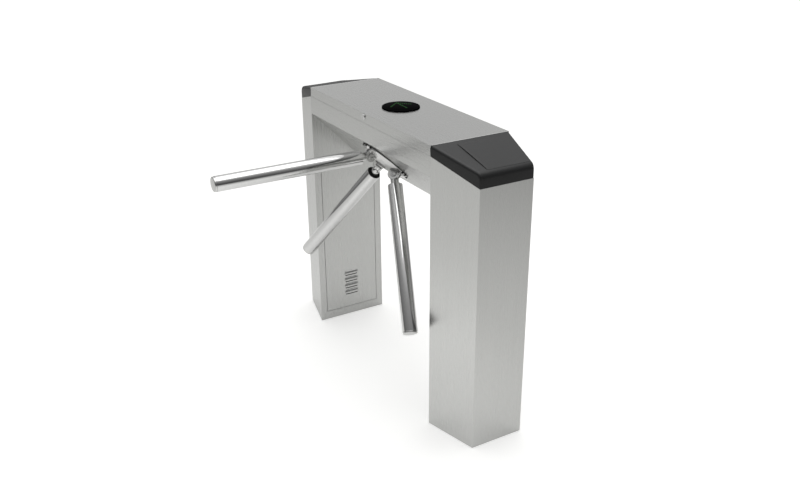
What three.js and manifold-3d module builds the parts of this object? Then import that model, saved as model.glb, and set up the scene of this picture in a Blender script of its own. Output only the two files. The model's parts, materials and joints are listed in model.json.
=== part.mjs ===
// A waist-high bridge turnstile with a three-armed rotor. Two tapered sheet steel legs carry a steel
// beam, and the beam's lower front edge is a sloping face. The rotor's axis stands square on that face,
// so that one arm always reaches out level over the lane while the other two point down beside it.
// Sizes are in millimetres and +Z is up. X runs along the cabinet and the arms reach towards -Y.
import * as THREE from "three";
import { mergeVertices } from "three/addons/utils/BufferGeometryUtils.js";
import Module from "manifold-3d";

const wasm = await Module();
wasm.setup();

// Cabinet
const cabinetLength = 1200;
const cabinetDepth = 280;
const cabinetHeight = 960;
const legLength = 188;
const legEndWidth = 188;
const sheetWall = 2;
const seamGap = 0.3;
const overrun = 5;

// Beam
const frontWallDrop = 97;
const slopeLength = 262;
const axisLean = THREE.MathUtils.degToRad(45);
const beamWindowWidth = 150;
const beamWindowHeight = 95;
const beamWindowAboveBottom = 125;
const beamWindowFromBack = 30;

// End caps, of moulded plastic
const capWall = 3;
const capTopFall = 39;
const capSeamFall = 52;
const capEdgeRadius = 21;
const capLipDepth = 12;
const capLipWall = 2;
const capLipRise = 3;

// Reader covers and readers
const coverHeight = 2.5;
const coverSideY = -60;
const coverInnerMargin = 18;
const coverOuterMargin = 20;
const coverEdgeMargin = 9;
const readerLength = 84;
const readerWidth = 100;
const readerHeight = 9;
const readerOffsetX = -12;
const readerOffsetY = 20;

// Bases
const basePlateThickness = 8;
const baseRimHeight = 24;
const baseRimWall = 3;
const cableHoleRadius = 34;
const anchorHoleRadius = 7;
const anchorInset = 30;

// Doors in the legs
const doorWidth = 224;
const doorBottom = 35;
const doorTopBelowBeam = 6;
const doorGap = 1.5;
const doorFlangeDepth = 12;
const doorFlangeWall = 1.5;
const doorPivotInset = 3;
const doorPinRadius = 2;
const doorPinReach = 4;
const pinClearance = 0.4;
const pivotTabThickness = 3;
const pivotTabLength = 13;
const pivotTabWidth = 14;
const louvreCount = 4;
const louvreWidth = 57;
const louvreLowest = 96;
const louvreSpacing = 28;
const louvreSlit = 3.5;
const louvreHoodHeight = 13;
const louvreHoodDepth = 5;
const louvreHoodWall = 1.2;

// Lid
const lidSkirt = 33;
const displayHoleRadius = 61.3;
const bezelFlange = 2.8;
const bezelFlangeHeight = 2.3;
const bezelDepth = 8;
const bezelWall = 2;
const lensLedge = 3;
const lensDrop = 3;
const boardThickness = 2;
const boardMargin = 2;
const connectorLength = 34;
const connectorWidth = 18;
const connectorHeight = 8;

// Lid hinge, a long one along the back
const hingeKnuckleRadius = 3;
const hingePinRadius = 1.2;
const hingeLeafWall = 1.2;
const hingeLeafHeight = 20;
const hingeLength = 760;
const hingeKnuckleCount = 7;
const knuckleGap = 0.6;

// Lid lock
const lockHeightShare = 0.64;
const lockBodyRadius = 8;
const lockHeadRadius = 9.5;
const lockHeadHeight = 1.8;
const lockBodyLength = 28;
const lockPlugRadius = 5;
const lockPlugReach = 3;
const lockCamThickness = 2;
const lockCamReach = 36;
const lockCamWidth = 8;
const lockFootWidth = 5;
const lockFootAngle = THREE.MathUtils.degToRad(28);
const keeperLipLength = 9;
const keeperWall = 2;
const keeperClearance = 2;

// Rotor: the arms' axes meet at the apex, behind the sloping face
const hubBelowEdge = 109;
const apexDepth = 36.7;
const armCount = 3;
const armReach = 630;
const pivotRadius = 59;
const hubRunningGap = 2;
const hubRadius = 95;
const hubRimHeight = 2.5;
const hubHeight = 22;
const hubNeckRadius = 17;
const hubCapRadius = 12;
const hubCapHeight = 3;
const hubCapRound = 1.5;
const lugRadius = 20;
const lugWall = 5;
const lugRootHeight = 2;
const lugFootSpread = 5;
const eyeRadius = 18;
const eyeWidth = 10;
const eyeSideGap = 0.4;
const eyeGap = 0.4;
const neckRadius = 14;
const neckGap = 1;
const pivotPinRadius = 6;
const pivotHeadRadius = 11;
const pivotHeadHeight = 3;
const spotFaceMargin = 1;
const spotFaceDepth = 12;

// Arms
const armRadius = 25;
const armWall = 1.5;
const armStart = 38;
const sealRecess = 0.4;
const sealThickness = 5;
const spigotLength = 30;
const plugHeadLength = 8;
const plugSpigotLength = 24;
const plugChamfer = 2;
const plugGroove = 0.8;

// Shaft and bearings
const shaftRadius = 12.5;
const shaftTailLength = 6;
const shaftSocketFloor = 5;
const bearingRadius = 26;
const bearingWidth = 15;
const bearingLip = 3;
const bearingLipRadius = 20;
const bearingBossWall = 7;
const raceGroove = 1.2;
const raceShare = 0.32;

// Mechanism frame, two plates on four pillars
const framePlate = 8;
const frameHalfWidth = 155;
const frameUp = 75;
const frameDown = 90;
const frameSpan = 98;
const pillarRadius = 6;
const pillarInset = 14;
const weldDepth = 1;

// Lock wheel and pawls
const lockWheelRadius = 55;
const lockWheelThickness = 10;
const lockWheelPlace = 0;
const notchCount = 12;
const notchDepth = 8;
const notchWidth = 10;
const notchRimSteps = 4;
const pawlArm = 60;
const pawlStandoff = 16;
const pawlThickness = 8;
const pawlBarWidth = 10;
const pawlHubRadius = 9;
const pawlPinRadius = 5;
const pawlNoseWidth = 6;
const pawlNoseLead = 1.5;
const pawlNoseGap = 2.5;
const pawlTail = 24;
const pawlPinEndGap = 2;
const pawlTurn = THREE.MathUtils.degToRad(30);

// Solenoids
const solenoidWidth = 30;
const solenoidLength = 40;
const solenoidHeight = 36;
const solenoidOffset = 18;
const plungerOffset = 18;
const plungerRadius = 4;
const plungerInside = 22;
const plungerGap = 0.6;

// Gears
const gearModule = 1.75;
const gearThickness = 12;
const gearPlace = -30;
const rotorTeeth = 72;
const centringTeeth = 24;
const damperTeeth = 18;
const meshSlack = 0.25;
const toothSlack = 0.16;
const dedendumShare = 1.25;
const pressureAngle = THREE.MathUtils.degToRad(20);
const gearAxleRadius = 5;
const gearAxleTip = 1;
const crankRadius = 13;
const crankPinRadius = 3;
const crankPinLength = 14;

// Centring spring
const springTurns = 8;
const springRadius = 6;
const springWire = 0.9;
const springPostRadius = 4;
const springPostPlace = -70;
const springPostTip = 5;
const springStemShare = 0.12;
const springStepsPerTurn = 6;
const springSides = 4;

// Damper
const damperRadius = 28;
const damperHeight = 27;
const damperShaftRadius = 4;
const damperShaftDepth = 14;
const damperShaftEndGap = 1;

// Electronics in the beam
const boxLength = 140;
const boxWidth = 80;
const boxHeight = 58;
const boxFromLeg = 72;
const boxFromBack = 4;
const ventCount = 5;
const ventWidth = 3;
const ventDepth = 4;
const ventLengthShare = 0.6;

// Sides of round pieces
const smallSides = 12;
const pinSides = 16;
const roundSides = 24;
const tubeSides = 24;
const hubSides = 30;
const arcSteps = 8;
const bellSteps = 3;

// Places that follow from the sizes
const legOuterX = cabinetLength / 2;
const legInnerX = legOuterX - legLength;
const legTaper = (cabinetDepth - legEndWidth) / 2 / legLength;
const taperStretch = Math.hypot(1, legTaper);
const frontY = -cabinetDepth / 2;
const backY = cabinetDepth / 2;
const seamZ = cabinetHeight - lidSkirt;
const slopeTopZ = cabinetHeight - frontWallDrop;
const beamBottomZ = slopeTopZ - slopeLength * Math.sin(axisLean);
const slopeEndY = frontY + slopeLength * Math.cos(axisLean);
const doorTop = beamBottomZ - doorTopBelowBeam;
const capSlope = Math.atan2(capTopFall, legLength);
const hubFaceY = frontY + hubBelowEdge * Math.cos(axisLean);
const hubFaceZ = slopeTopZ - hubBelowEdge * Math.sin(axisLean);
const apexY = hubFaceY + apexDepth * Math.sin(axisLean);
const apexZ = hubFaceZ + apexDepth * Math.cos(axisLean);
const mechanismTurn = Math.PI - axisLean;
const armLean = Math.PI / 2 - axisLean;
const hubBackZ = apexDepth + hubRunningGap;
const hubTopZ = hubBackZ + hubHeight;
const pivotZ = pivotRadius / Math.tan(armLean);
const pivotFromApex = Math.hypot(pivotRadius, pivotZ);
const armEnd = armReach - pivotFromApex;
const frontPlateFace = apexDepth - sheetWall - seamGap;
const frontPlateBack = frontPlateFace - framePlate;
const rearPlateFace = frontPlateBack - frameSpan;
const rearPlateBack = rearPlateFace - framePlate;
const boreRadius = shaftRadius + seamGap;
const hingeY = backY + seamGap + hingeKnuckleRadius;
const backmostY = hingeY + hingeKnuckleRadius;
const armTipY = apexY - armReach;
const sealStart = armStart + sealRecess;
const sealEnd = sealStart + sealThickness;
const tubeBore = armRadius - armWall - seamGap;

// Finishes
const finishes = {
  brushedSteel: { color: 0xb4b5b2, roughness: 0.38, metalness: 0.9 },
  polishedSteel: { color: 0xd0d0ce, roughness: 0.12, metalness: 1 },
  castSteel: { color: 0xc4c4c0, roughness: 0.25, metalness: 0.95 },
  zincSteel: { color: 0x9fa3a6, roughness: 0.45, metalness: 0.85 },
  blackPlastic: { color: 0x26282a, roughness: 0.5, metalness: 0 },
  greyPlastic: { color: 0x55585a, roughness: 0.6, metalness: 0 },
  darkGlass: { color: 0x08090a, roughness: 0.08, metalness: 0 },
  blackRubber: { color: 0x141414, roughness: 0.8, metalness: 0 },
  brassYellow: { color: 0xb89a54, roughness: 0.35, metalness: 0.9 },
  circuitGreen: { color: 0x1f5f3a, roughness: 0.6, metalness: 0 },
};

// Solids and cuts
function signedVolume(positions, corners) {
  const [a, b, c] = [new THREE.Vector3(), new THREE.Vector3(), new THREE.Vector3()];
  let sum = 0;
  for (let i = 0; i < corners.length; i += 3) {
    a.fromBufferAttribute(positions, corners[i]);
    b.fromBufferAttribute(positions, corners[i + 1]);
    c.fromBufferAttribute(positions, corners[i + 2]);
    sum += a.dot(b.cross(c));
  }
  return sum;
}

function toSolid(geometry) {
  const bare = geometry.clone();
  bare.deleteAttribute("normal");
  bare.deleteAttribute("uv");
  const merged = mergeVertices(bare);
  const all = Array.from(merged.index.array);
  const kept = [];
  for (let i = 0; i < all.length; i += 3) {
    const [a, b, c] = all.slice(i, i + 3);
    if (a !== b && b !== c && c !== a) kept.push(a, b, c);
  }
  if (signedVolume(merged.attributes.position, kept) < 0) kept.reverse();
  const mesh = new wasm.Mesh({
    numProp: 3,
    vertProperties: merged.attributes.position.array,
    triVerts: Uint32Array.from(kept),
  });
  return new wasm.Manifold(mesh);
}

function toGeometry(solid) {
  const mesh = solid.getMesh();
  const geometry = new THREE.BufferGeometry();
  geometry.setAttribute("position", new THREE.BufferAttribute(mesh.vertProperties, mesh.numProp));
  geometry.setIndex(new THREE.BufferAttribute(mesh.triVerts, 1));
  return geometry;
}

function join(first, ...others) {
  return toGeometry(others.reduce((sum, other) => sum.add(toSolid(other)), toSolid(first)));
}

function cut(first, ...tools) {
  return toGeometry(tools.reduce((rest, tool) => rest.subtract(toSolid(tool)), toSolid(first)));
}

function common(first, second) {
  return toGeometry(toSolid(first).intersect(toSolid(second)));
}

// Shapes
function outline(points) {
  return new THREE.Shape(points.map(([x, y]) => new THREE.Vector2(x, y)));
}

function circle(x, y, radius) {
  return new THREE.Shape().absarc(x, y, radius, 0, 2 * Math.PI);
}

function prism(shape, low, high) {
  const options = { depth: high - low, bevelEnabled: false, curveSegments: arcSteps };
  return new THREE.ExtrudeGeometry(shape, options).translate(0, 0, low);
}

// The shape's x and y become X and Z, and the prism is centred on Y = 0.
function prismAlongY(shape, width) {
  return prism(shape, -width / 2, width / 2).rotateX(Math.PI / 2);
}

// The shape's x and y become Y and Z, from one X to the other.
function prismAlongX(shape, low, high) {
  return prism(shape, low, high)
    .rotateX(Math.PI / 2)
    .rotateZ(Math.PI / 2);
}

function block(low, high) {
  const size = high.map((value, i) => value - low[i]);
  const middle = high.map((value, i) => (value + low[i]) / 2);
  return new THREE.BoxGeometry(...size).translate(...middle);
}

function rod(radius, low, high, sides = pinSides) {
  return new THREE.CylinderGeometry(radius, radius, high - low, sides)
    .rotateX(Math.PI / 2)
    .translate(0, 0, (low + high) / 2);
}

function rodAlongX(radius, low, high, sides = pinSides) {
  return rod(radius, low, high, sides).rotateY(Math.PI / 2);
}

function rodAlongY(radius, low, high, sides = pinSides) {
  return rod(radius, low, high, sides)
    .rotateX(Math.PI / 2)
    .rotateZ(Math.PI);
}

// A turned piece about Z, from points of radius and height. It starts and ends on the axis.
function turned(profile, sides = roundSides) {
  const points = profile.map(([radius, height]) => new THREE.Vector2(radius, height));
  return new THREE.LatheGeometry(points, sides).rotateX(Math.PI / 2);
}

// A turned ring, whose profile closes on itself.
function turnedRing(profile, sides = roundSides) {
  return turned([...profile, profile[0]], sides);
}

function addPiece(group, name, geometry, finish) {
  const flat = geometry.index ? geometry.toNonIndexed() : geometry;
  flat.computeVertexNormals();
  const mesh = new THREE.Mesh(flat, new THREE.MeshStandardMaterial(finishes[finish]));
  mesh.name = name;
  group.add(mesh);
  return mesh;
}

// From the mechanism's frame, whose Z leaves the sloping face, to the cabinet's.
function intoCabinet(geometry) {
  return geometry.rotateX(mechanismTurn).translate(0, apexY, apexZ);
}

// Legs: each is modelled as the one at +X, and the other is turned half round
function legHalfWidth(x, inset) {
  return cabinetDepth / 2 - legTaper * (x - legInnerX) - inset * taperStretch;
}

function legPlan(inset) {
  const inner = legInnerX + inset;
  const outer = legOuterX - inset;
  return outline([
    [inner, -legHalfWidth(inner, inset)],
    [outer, -legHalfWidth(outer, inset)],
    [outer, legHalfWidth(outer, inset)],
    [inner, legHalfWidth(inner, inset)],
  ]);
}

function capSeamZ(x) {
  return seamZ - (capSeamFall * (x - legInnerX)) / legLength;
}

function capTopZ(x) {
  return cabinetHeight - (capTopFall * (x - legInnerX)) / legLength;
}

// A slab that follows a sloping line of the leg's side view, between two heights off that line.
function slopingSlab(lineZ, low, high) {
  const [start, end] = [legInnerX - overrun, legOuterX + overrun];
  const side = outline([
    [start, lineZ(start) + low],
    [end, lineZ(end) + low],
    [end, lineZ(end) + high],
    [start, lineZ(start) + high],
  ]);
  return prismAlongY(side, cabinetDepth + 2 * overrun);
}

function doorPivot(hingeSide) {
  return [legInnerX + doorPivotInset, hingeSide * (doorWidth / 2 - doorPivotInset)];
}

function pivotTab(hingeSide, low) {
  const edge = hingeSide * (doorWidth / 2 + doorGap + sheetWall);
  const inner = edge - hingeSide * pivotTabWidth;
  return block(
    [legInnerX + sheetWall / 2, Math.min(edge, inner), low],
    [legInnerX + pivotTabLength, Math.max(edge, inner), low + pivotTabThickness],
  );
}

function pivotHole(hingeSide, low) {
  const [x, y] = doorPivot(hingeSide);
  return rod(doorPinRadius + pinClearance, low, low + pivotTabThickness, smallSides).translate(x, y, 0);
}

function beamWindow(fromX, toX) {
  const high = beamBottomZ + beamWindowAboveBottom + beamWindowHeight;
  return block(
    [fromX, backY - beamWindowFromBack - beamWindowWidth, high - beamWindowHeight],
    [toX, backY - beamWindowFromBack, high],
  );
}

function legShell(hingeSide, windowMirror) {
  const tube = cut(
    prism(legPlan(0), 0, cabinetHeight),
    prism(legPlan(sheetWall), -overrun, cabinetHeight + overrun),
  );
  const doorway = block(
    [legInnerX - overrun, -doorWidth / 2 - doorGap, doorBottom - doorGap],
    [legInnerX + sheetWall + overrun, doorWidth / 2 + doorGap, doorTop + doorGap],
  );
  const window = beamWindow(legInnerX - overrun, legInnerX + sheetWall + overrun);
  const opened = cut(
    tube,
    slopingSlab(capSeamZ, -seamGap, cabinetHeight),
    doorway,
    windowMirror ? window.rotateZ(Math.PI).translate(2 * legInnerX + sheetWall, 0, 0) : window,
  );
  const lows = [doorBottom - doorGap - pivotTabThickness, doorTop + doorGap];
  const tabs = lows.map((low) => pivotTab(hingeSide, low));
  const holes = lows.map((low) => pivotHole(hingeSide, low));
  return cut(join(opened, ...tabs), ...holes);
}

function basePlate() {
  const inset = sheetWall + seamGap;
  const plate = prism(legPlan(inset), 0, basePlateThickness);
  const rim = cut(
    prism(legPlan(inset), 0, baseRimHeight),
    prism(legPlan(inset + baseRimWall), -overrun, baseRimHeight + overrun),
  );
  const holeLow = -overrun;
  const holeHigh = basePlateThickness + overrun;
  const middleX = (legInnerX + legOuterX) / 2;
  const holes = [rod(cableHoleRadius, holeLow, holeHigh, roundSides).translate(middleX, 0, 0)];
  for (const x of [legInnerX + anchorInset, legOuterX - anchorInset]) {
    for (const side of [-1, 1]) {
      const y = side * (legHalfWidth(x, inset) - anchorInset);
      holes.push(rod(anchorHoleRadius, holeLow, holeHigh, smallSides).translate(x, y, 0));
    }
  }
  return cut(join(plate, rim), ...holes);
}

function louvreHood(low) {
  const back = legInnerX + sheetWall / 2;
  const wedge = outline([
    [back, low],
    [legInnerX - louvreHoodDepth, low],
    [back, low + louvreHoodHeight],
  ]);
  return prismAlongY(wedge, louvreWidth);
}

function louvreHollow(low) {
  const behind = legInnerX + sheetWall + overrun;
  const rise = louvreHoodHeight * (1 - louvreHoodWall / louvreHoodDepth);
  const hollow = outline([
    [behind, low],
    [legInnerX, low],
    [legInnerX, low - overrun],
    [legInnerX - louvreHoodDepth + louvreHoodWall, low - overrun],
    [legInnerX - louvreHoodDepth + louvreHoodWall, low],
    [legInnerX, low + rise],
    [legInnerX, low + louvreSlit],
    [behind, low + louvreSlit],
  ]);
  return prismAlongY(hollow, louvreWidth - 2 * louvreHoodWall);
}

function door(hingeSide) {
  const halfWidth = doorWidth / 2;
  const tray = cut(
    block([legInnerX, -halfWidth, doorBottom], [legInnerX + doorFlangeDepth, halfWidth, doorTop]),
    block(
      [legInnerX + sheetWall, -halfWidth + doorFlangeWall, doorBottom + doorFlangeWall],
      [legInnerX + doorFlangeDepth + overrun, halfWidth - doorFlangeWall, doorTop - doorFlangeWall],
    ),
  );
  const lows = Array.from({ length: louvreCount }, (_, i) => louvreLowest + i * louvreSpacing);
  const [x, y] = doorPivot(hingeSide);
  const pins = [
    rod(doorPinRadius, doorBottom - doorPinReach, doorBottom + doorFlangeWall, smallSides),
    rod(doorPinRadius, doorTop - doorFlangeWall, doorTop + doorPinReach, smallSides),
  ];
  const hooded = join(tray, ...lows.map(louvreHood), ...pins.map((pin) => pin.translate(x, y, 0)));
  return cut(hooded, ...lows.map(louvreHollow));
}

// End caps
function capProfile(inset, bottomDrop) {
  const inner = legInnerX + inset;
  const outer = legOuterX - inset;
  const tangent = capEdgeRadius / Math.tan(Math.PI / 4 + capSlope / 2);
  const arcX = legOuterX - capEdgeRadius;
  const arcZ = capTopZ(legOuterX) - tangent;
  const shape = new THREE.Shape();
  shape.moveTo(inner, capSeamZ(inner) - bottomDrop);
  shape.lineTo(outer, capSeamZ(outer) - bottomDrop);
  shape.absarc(arcX, arcZ, capEdgeRadius - inset, 0, Math.PI / 2 - capSlope);
  shape.lineTo(inner, capTopZ(inner) - inset / Math.cos(capSlope));
  return prismAlongY(shape, cabinetDepth + 2 * overrun);
}

function endCap() {
  const outer = common(capProfile(0, 0), prism(legPlan(0), 0, cabinetHeight + overrun));
  const hollowPlan = prism(legPlan(capWall), 0, cabinetHeight);
  const hollow = common(capProfile(capWall, capLipDepth + overrun), hollowPlan);
  const lipInset = sheetWall + seamGap;
  const lipPlan = prism(legPlan(lipInset), 0, cabinetHeight);
  const lip = cut(
    common(slopingSlab(capSeamZ, -capLipDepth, capLipRise), lipPlan),
    prism(legPlan(lipInset + capLipWall), -overrun, cabinetHeight + overrun),
  );
  return join(cut(outer, hollow), lip);
}

function readerCover() {
  const start = legInnerX + coverInnerMargin;
  const end = legOuterX - coverOuterMargin;
  const plan = outline([
    [start, coverSideY],
    [end, coverSideY],
    [end, legHalfWidth(end, coverEdgeMargin)],
    [start, legHalfWidth(start, coverEdgeMargin)],
  ]);
  const slab = slopingSlab(capTopZ, seamGap, seamGap + coverHeight);
  return common(slab, prism(plan, 0, cabinetHeight + overrun));
}

function cardReader() {
  const middleX = (legInnerX + legOuterX) / 2 + readerOffsetX;
  const topZ = capTopZ(middleX) - capWall / Math.cos(capSlope) - seamGap;
  return block([-readerLength / 2, -readerWidth / 2, -readerHeight], [readerLength / 2, readerWidth / 2, 0])
    .rotateY(capSlope)
    .translate(middleX, readerOffsetY, topZ);
}

// Beam
function beamProfile(inset, topZ) {
  const slopeShift = inset * Math.tan((Math.PI / 2 - axisLean) / 2);
  const bottomShift = inset * Math.tan(axisLean / 2);
  return outline([
    [frontY + inset, topZ],
    [frontY + inset, slopeTopZ + slopeShift],
    [slopeEndY + bottomShift, beamBottomZ + inset],
    [backY - inset, beamBottomZ + inset],
    [backY - inset, topZ],
  ]);
}

function beamShell() {
  const end = legInnerX - seamGap;
  const trough = cut(
    prismAlongX(beamProfile(0, seamZ), -end, end),
    prismAlongX(beamProfile(sheetWall, seamZ + overrun), -end + sheetWall, end - sheetWall),
  );
  const shaftHole = rod(bearingLipRadius, frontPlateFace, apexDepth + overrun, roundSides);
  return cut(
    trough,
    beamWindow(-end - overrun, -end + sheetWall + overrun),
    beamWindow(end - sheetWall - overrun, end + overrun),
    intoCabinet(shaftHole),
  );
}

// Lid
function lockZ() {
  return seamZ + lidSkirt * lockHeightShare;
}

function topLid() {
  const end = legInnerX - seamGap;
  const section = outline([
    [frontY, seamZ + seamGap],
    [frontY, cabinetHeight],
    [backY, cabinetHeight],
    [backY, seamZ + seamGap],
    [backY - sheetWall, seamZ + seamGap],
    [backY - sheetWall, cabinetHeight - sheetWall],
    [frontY + sheetWall, cabinetHeight - sheetWall],
    [frontY + sheetWall, seamZ + seamGap],
  ]);
  const displayHole = rod(displayHoleRadius, seamZ, cabinetHeight + overrun, tubeSides);
  const lockHole = rodAlongY(lockBodyRadius + seamGap, -overrun, sheetWall + overrun)
    .translate(0, frontY, lockZ());
  return cut(prismAlongX(section, -end, end), displayHole, lockHole);
}

function displayBezel() {
  const tube = displayHoleRadius - seamGap;
  const inner = tube - bezelWall;
  return turnedRing(
    [
      [inner - lensLedge, -bezelDepth],
      [tube, -bezelDepth],
      [tube, seamGap],
      [tube + bezelFlange, seamGap],
      [tube + bezelFlange, bezelFlangeHeight],
      [inner, bezelFlangeHeight],
      [inner, -lensDrop],
      [inner - lensLedge, -lensDrop],
    ],
    tubeSides,
  ).translate(0, 0, cabinetHeight);
}

function displayLens() {
  const radius = displayHoleRadius - bezelWall - 2 * seamGap;
  const lens = rod(radius, -lensDrop + seamGap, bezelFlangeHeight - seamGap, tubeSides);
  return lens.translate(0, 0, cabinetHeight);
}

function displayBoard() {
  const top = -bezelDepth - seamGap;
  const board = rod(displayHoleRadius - boardMargin, top - boardThickness, top, tubeSides);
  const connector = block(
    [-connectorLength / 2, -connectorWidth / 2, top - boardThickness - connectorHeight],
    [connectorLength / 2, connectorWidth / 2, top],
  );
  return join(board, connector).translate(0, 0, cabinetHeight);
}

// Lid hinge: odd and even knuckles belong to the two leaves, on one pin
function hingeLeaf(first, leafLow, leafHigh) {
  const pitch = hingeLength / hingeKnuckleCount;
  const leaf = block(
    [-hingeLength / 2, backY + seamGap, leafLow],
    [hingeLength / 2, backY + seamGap + hingeLeafWall, leafHigh],
  );
  const reach = hingeKnuckleRadius + knuckleGap;
  const own = [];
  const cleared = [];
  for (let i = 0; i < hingeKnuckleCount; i++) {
    const low = -hingeLength / 2 + i * pitch;
    const high = low + pitch;
    if (i % 2 === first) {
      own.push(rodAlongX(hingeKnuckleRadius, low + knuckleGap / 2, high - knuckleGap / 2, smallSides));
    } else {
      cleared.push(block([low - knuckleGap / 2, -reach, -reach], [high + knuckleGap / 2, reach, reach]));
    }
  }
  const bore = rodAlongX(hingePinRadius + pinClearance, -hingeLength, hingeLength, smallSides);
  const place = (geometry) => geometry.translate(0, hingeY, seamZ);
  return cut(join(cut(leaf, ...cleared.map(place)), ...own.map(place)), place(bore));
}

function hingePin() {
  const pin = rodAlongX(hingePinRadius, -hingeLength / 2, hingeLength / 2, smallSides);
  return pin.translate(0, hingeY, seamZ);
}

// Lid lock: a body in the skirt, and a plug that turns in it with a hooked cam
function lockBody() {
  const profile = [
    [lockPlugRadius + seamGap, -lockHeadHeight],
    [lockHeadRadius, -lockHeadHeight],
    [lockHeadRadius, -seamGap],
    [lockBodyRadius, -seamGap],
    [lockBodyRadius, lockBodyLength],
    [lockPlugRadius + seamGap, lockBodyLength],
  ];
  return turnedRing(profile, pinSides)
    .rotateX(-Math.PI / 2)
    .translate(0, frontY, lockZ());
}

function lockPlug() {
  const camLow = lockBodyLength + seamGap;
  const camHigh = camLow + lockCamThickness;
  const hook = new THREE.Shape();
  hook.absarc(0, 0, lockCamReach, -lockFootAngle, 0);
  hook.absarc(0, 0, lockCamReach - lockFootWidth, 0, -lockFootAngle, true);
  const bar = outline([
    [0, -lockCamWidth / 2],
    [lockCamReach - lockFootWidth / 2, -lockCamWidth / 2],
    [lockCamReach - lockFootWidth / 2, lockCamWidth / 2],
    [0, lockCamWidth / 2],
  ]);
  const flat = (shape) => prismAlongY(shape, lockCamThickness).translate(0, (camLow + camHigh) / 2, 0);
  const plug = rodAlongY(lockPlugRadius, -lockHeadHeight, camHigh + lockPlugReach);
  return join(plug, flat(bar), flat(hook)).translate(0, frontY, lockZ());
}

function lidKeeper() {
  const footInner = lockCamReach - lockFootWidth;
  const lipZ = lockZ() - footInner * Math.cos(lockFootAngle) + keeperClearance;
  const lipEnd = -lockCamWidth / 2 - keeperClearance;
  const back = frontY + lockBodyLength + lockCamThickness + keeperClearance;
  const lip = block(
    [lipEnd - keeperLipLength, frontY + sheetWall + seamGap, lipZ],
    [lipEnd, back, lipZ + keeperWall],
  );
  const foot = block(
    [lipEnd - keeperLipLength, frontY + sheetWall + seamGap, lipZ - lockFootWidth * 2],
    [lipEnd, frontY + sheetWall + seamGap + keeperWall, lipZ + keeperWall],
  );
  return join(lip, foot);
}

// Hub: a shallow bell with a V-shaped pocket and two lugs for each arm
function hubTopAt(radius) {
  const rim = hubBackZ + hubRimHeight;
  return hubTopZ - (hubTopZ - rim) * (radius / hubRadius) ** 2;
}

function hubBell() {
  const profile = [
    [0, frontPlateFace - bearingLip + seamGap],
    [hubNeckRadius, frontPlateFace - bearingLip + seamGap],
    [hubNeckRadius, hubBackZ],
    [hubRadius, hubBackZ],
  ];
  for (let i = bellSteps; i >= 0; i--) {
    const radius = hubCapRadius + ((hubRadius - hubCapRadius) * i) / bellSteps;
    profile.push([radius, hubTopAt(radius)]);
  }
  profile.push([0, hubTopAt(hubCapRadius)]);
  return turned(profile, hubSides);
}

// A point of the pocket's section, so far along the level arm and so far along the dropped one.
function fromPivot(alongLevel, alongDropped) {
  const [cosine, sine] = [Math.cos(axisLean), Math.sin(axisLean)];
  return [
    pivotRadius + alongLevel * cosine - alongDropped * sine,
    pivotZ + alongLevel * sine + alongDropped * cosine,
  ];
}

function armPocket() {
  const radius = neckRadius + neckGap;
  const far = 2 * hubRadius;
  const valley = outline([
    fromPivot(-radius, far),
    fromPivot(-radius, 0),
    fromPivot(0, -radius),
    fromPivot(far, -radius),
  ]);
  const half = eyeWidth / 2 + eyeSideGap;
  const round = prismAlongX(circle(pivotRadius, pivotZ, eyeRadius + eyeGap), -half, half);
  return join(prismAlongX(valley, -half, half), round);
}

function lug(side) {
  const low = hubBackZ + lugRootHeight;
  const shape = new THREE.Shape();
  shape.moveTo(pivotRadius - lugRadius - lugFootSpread, low);
  shape.lineTo(pivotRadius + lugRadius, low);
  shape.absarc(pivotRadius, pivotZ, lugRadius, 0, Math.PI);
  const inner = eyeWidth / 2 + eyeSideGap;
  const outer = inner + lugWall;
  return side > 0 ? prismAlongX(shape, inner, outer) : prismAlongX(shape, -outer, -inner);
}

function hub() {
  const third = (2 * Math.PI) / armCount;
  const pockets = [];
  const lugs = [];
  const bores = [];
  const halfSpan = eyeWidth / 2 + eyeSideGap + lugWall;
  for (let i = 0; i < armCount; i++) {
    pockets.push(armPocket().rotateZ(i * third));
    lugs.push(lug(1).rotateZ(i * third), lug(-1).rotateZ(i * third));
    const bore = rodAlongX(pivotPinRadius + seamGap, -halfSpan - overrun, halfSpan + overrun);
    bores.push(bore.translate(0, pivotRadius, pivotZ).rotateZ(i * third));
    for (const side of [-1, 1]) {
      const near = side > 0 ? halfSpan : -halfSpan - spotFaceDepth;
      const face = rodAlongX(pivotHeadRadius + spotFaceMargin, near, near + spotFaceDepth, roundSides);
      bores.push(face.translate(0, pivotRadius, pivotZ).rotateZ(i * third));
    }
  }
  const socket = rod(boreRadius, 0, hubTopZ - shaftSocketFloor, roundSides);
  return cut(join(cut(hubBell(), ...pockets), ...lugs), ...bores, socket);
}

function hubCap() {
  const low = hubTopAt(hubCapRadius) + seamGap;
  return turned(
    [
      [0, low],
      [hubCapRadius, low],
      [hubCapRadius, low + hubCapHeight - hubCapRound],
      [hubCapRadius - hubCapRound, low + hubCapHeight],
      [0, low + hubCapHeight],
    ],
    pinSides,
  );
}

function mainShaft() {
  const frontEnd = hubTopZ - shaftSocketFloor - seamGap;
  return rod(shaftRadius, rearPlateBack - shaftTailLength, frontEnd, roundSides);
}

function bearing() {
  const inner = boreRadius;
  const outer = bearingRadius - seamGap;
  const wall = (outer - inner) * raceShare;
  const half = bearingWidth / 2;
  return turnedRing([
    [inner, -half],
    [outer, -half],
    [outer, half],
    [outer - wall, half],
    [outer - wall, half - raceGroove],
    [inner + wall, half - raceGroove],
    [inner + wall, half],
    [inner, half],
  ]);
}

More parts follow.
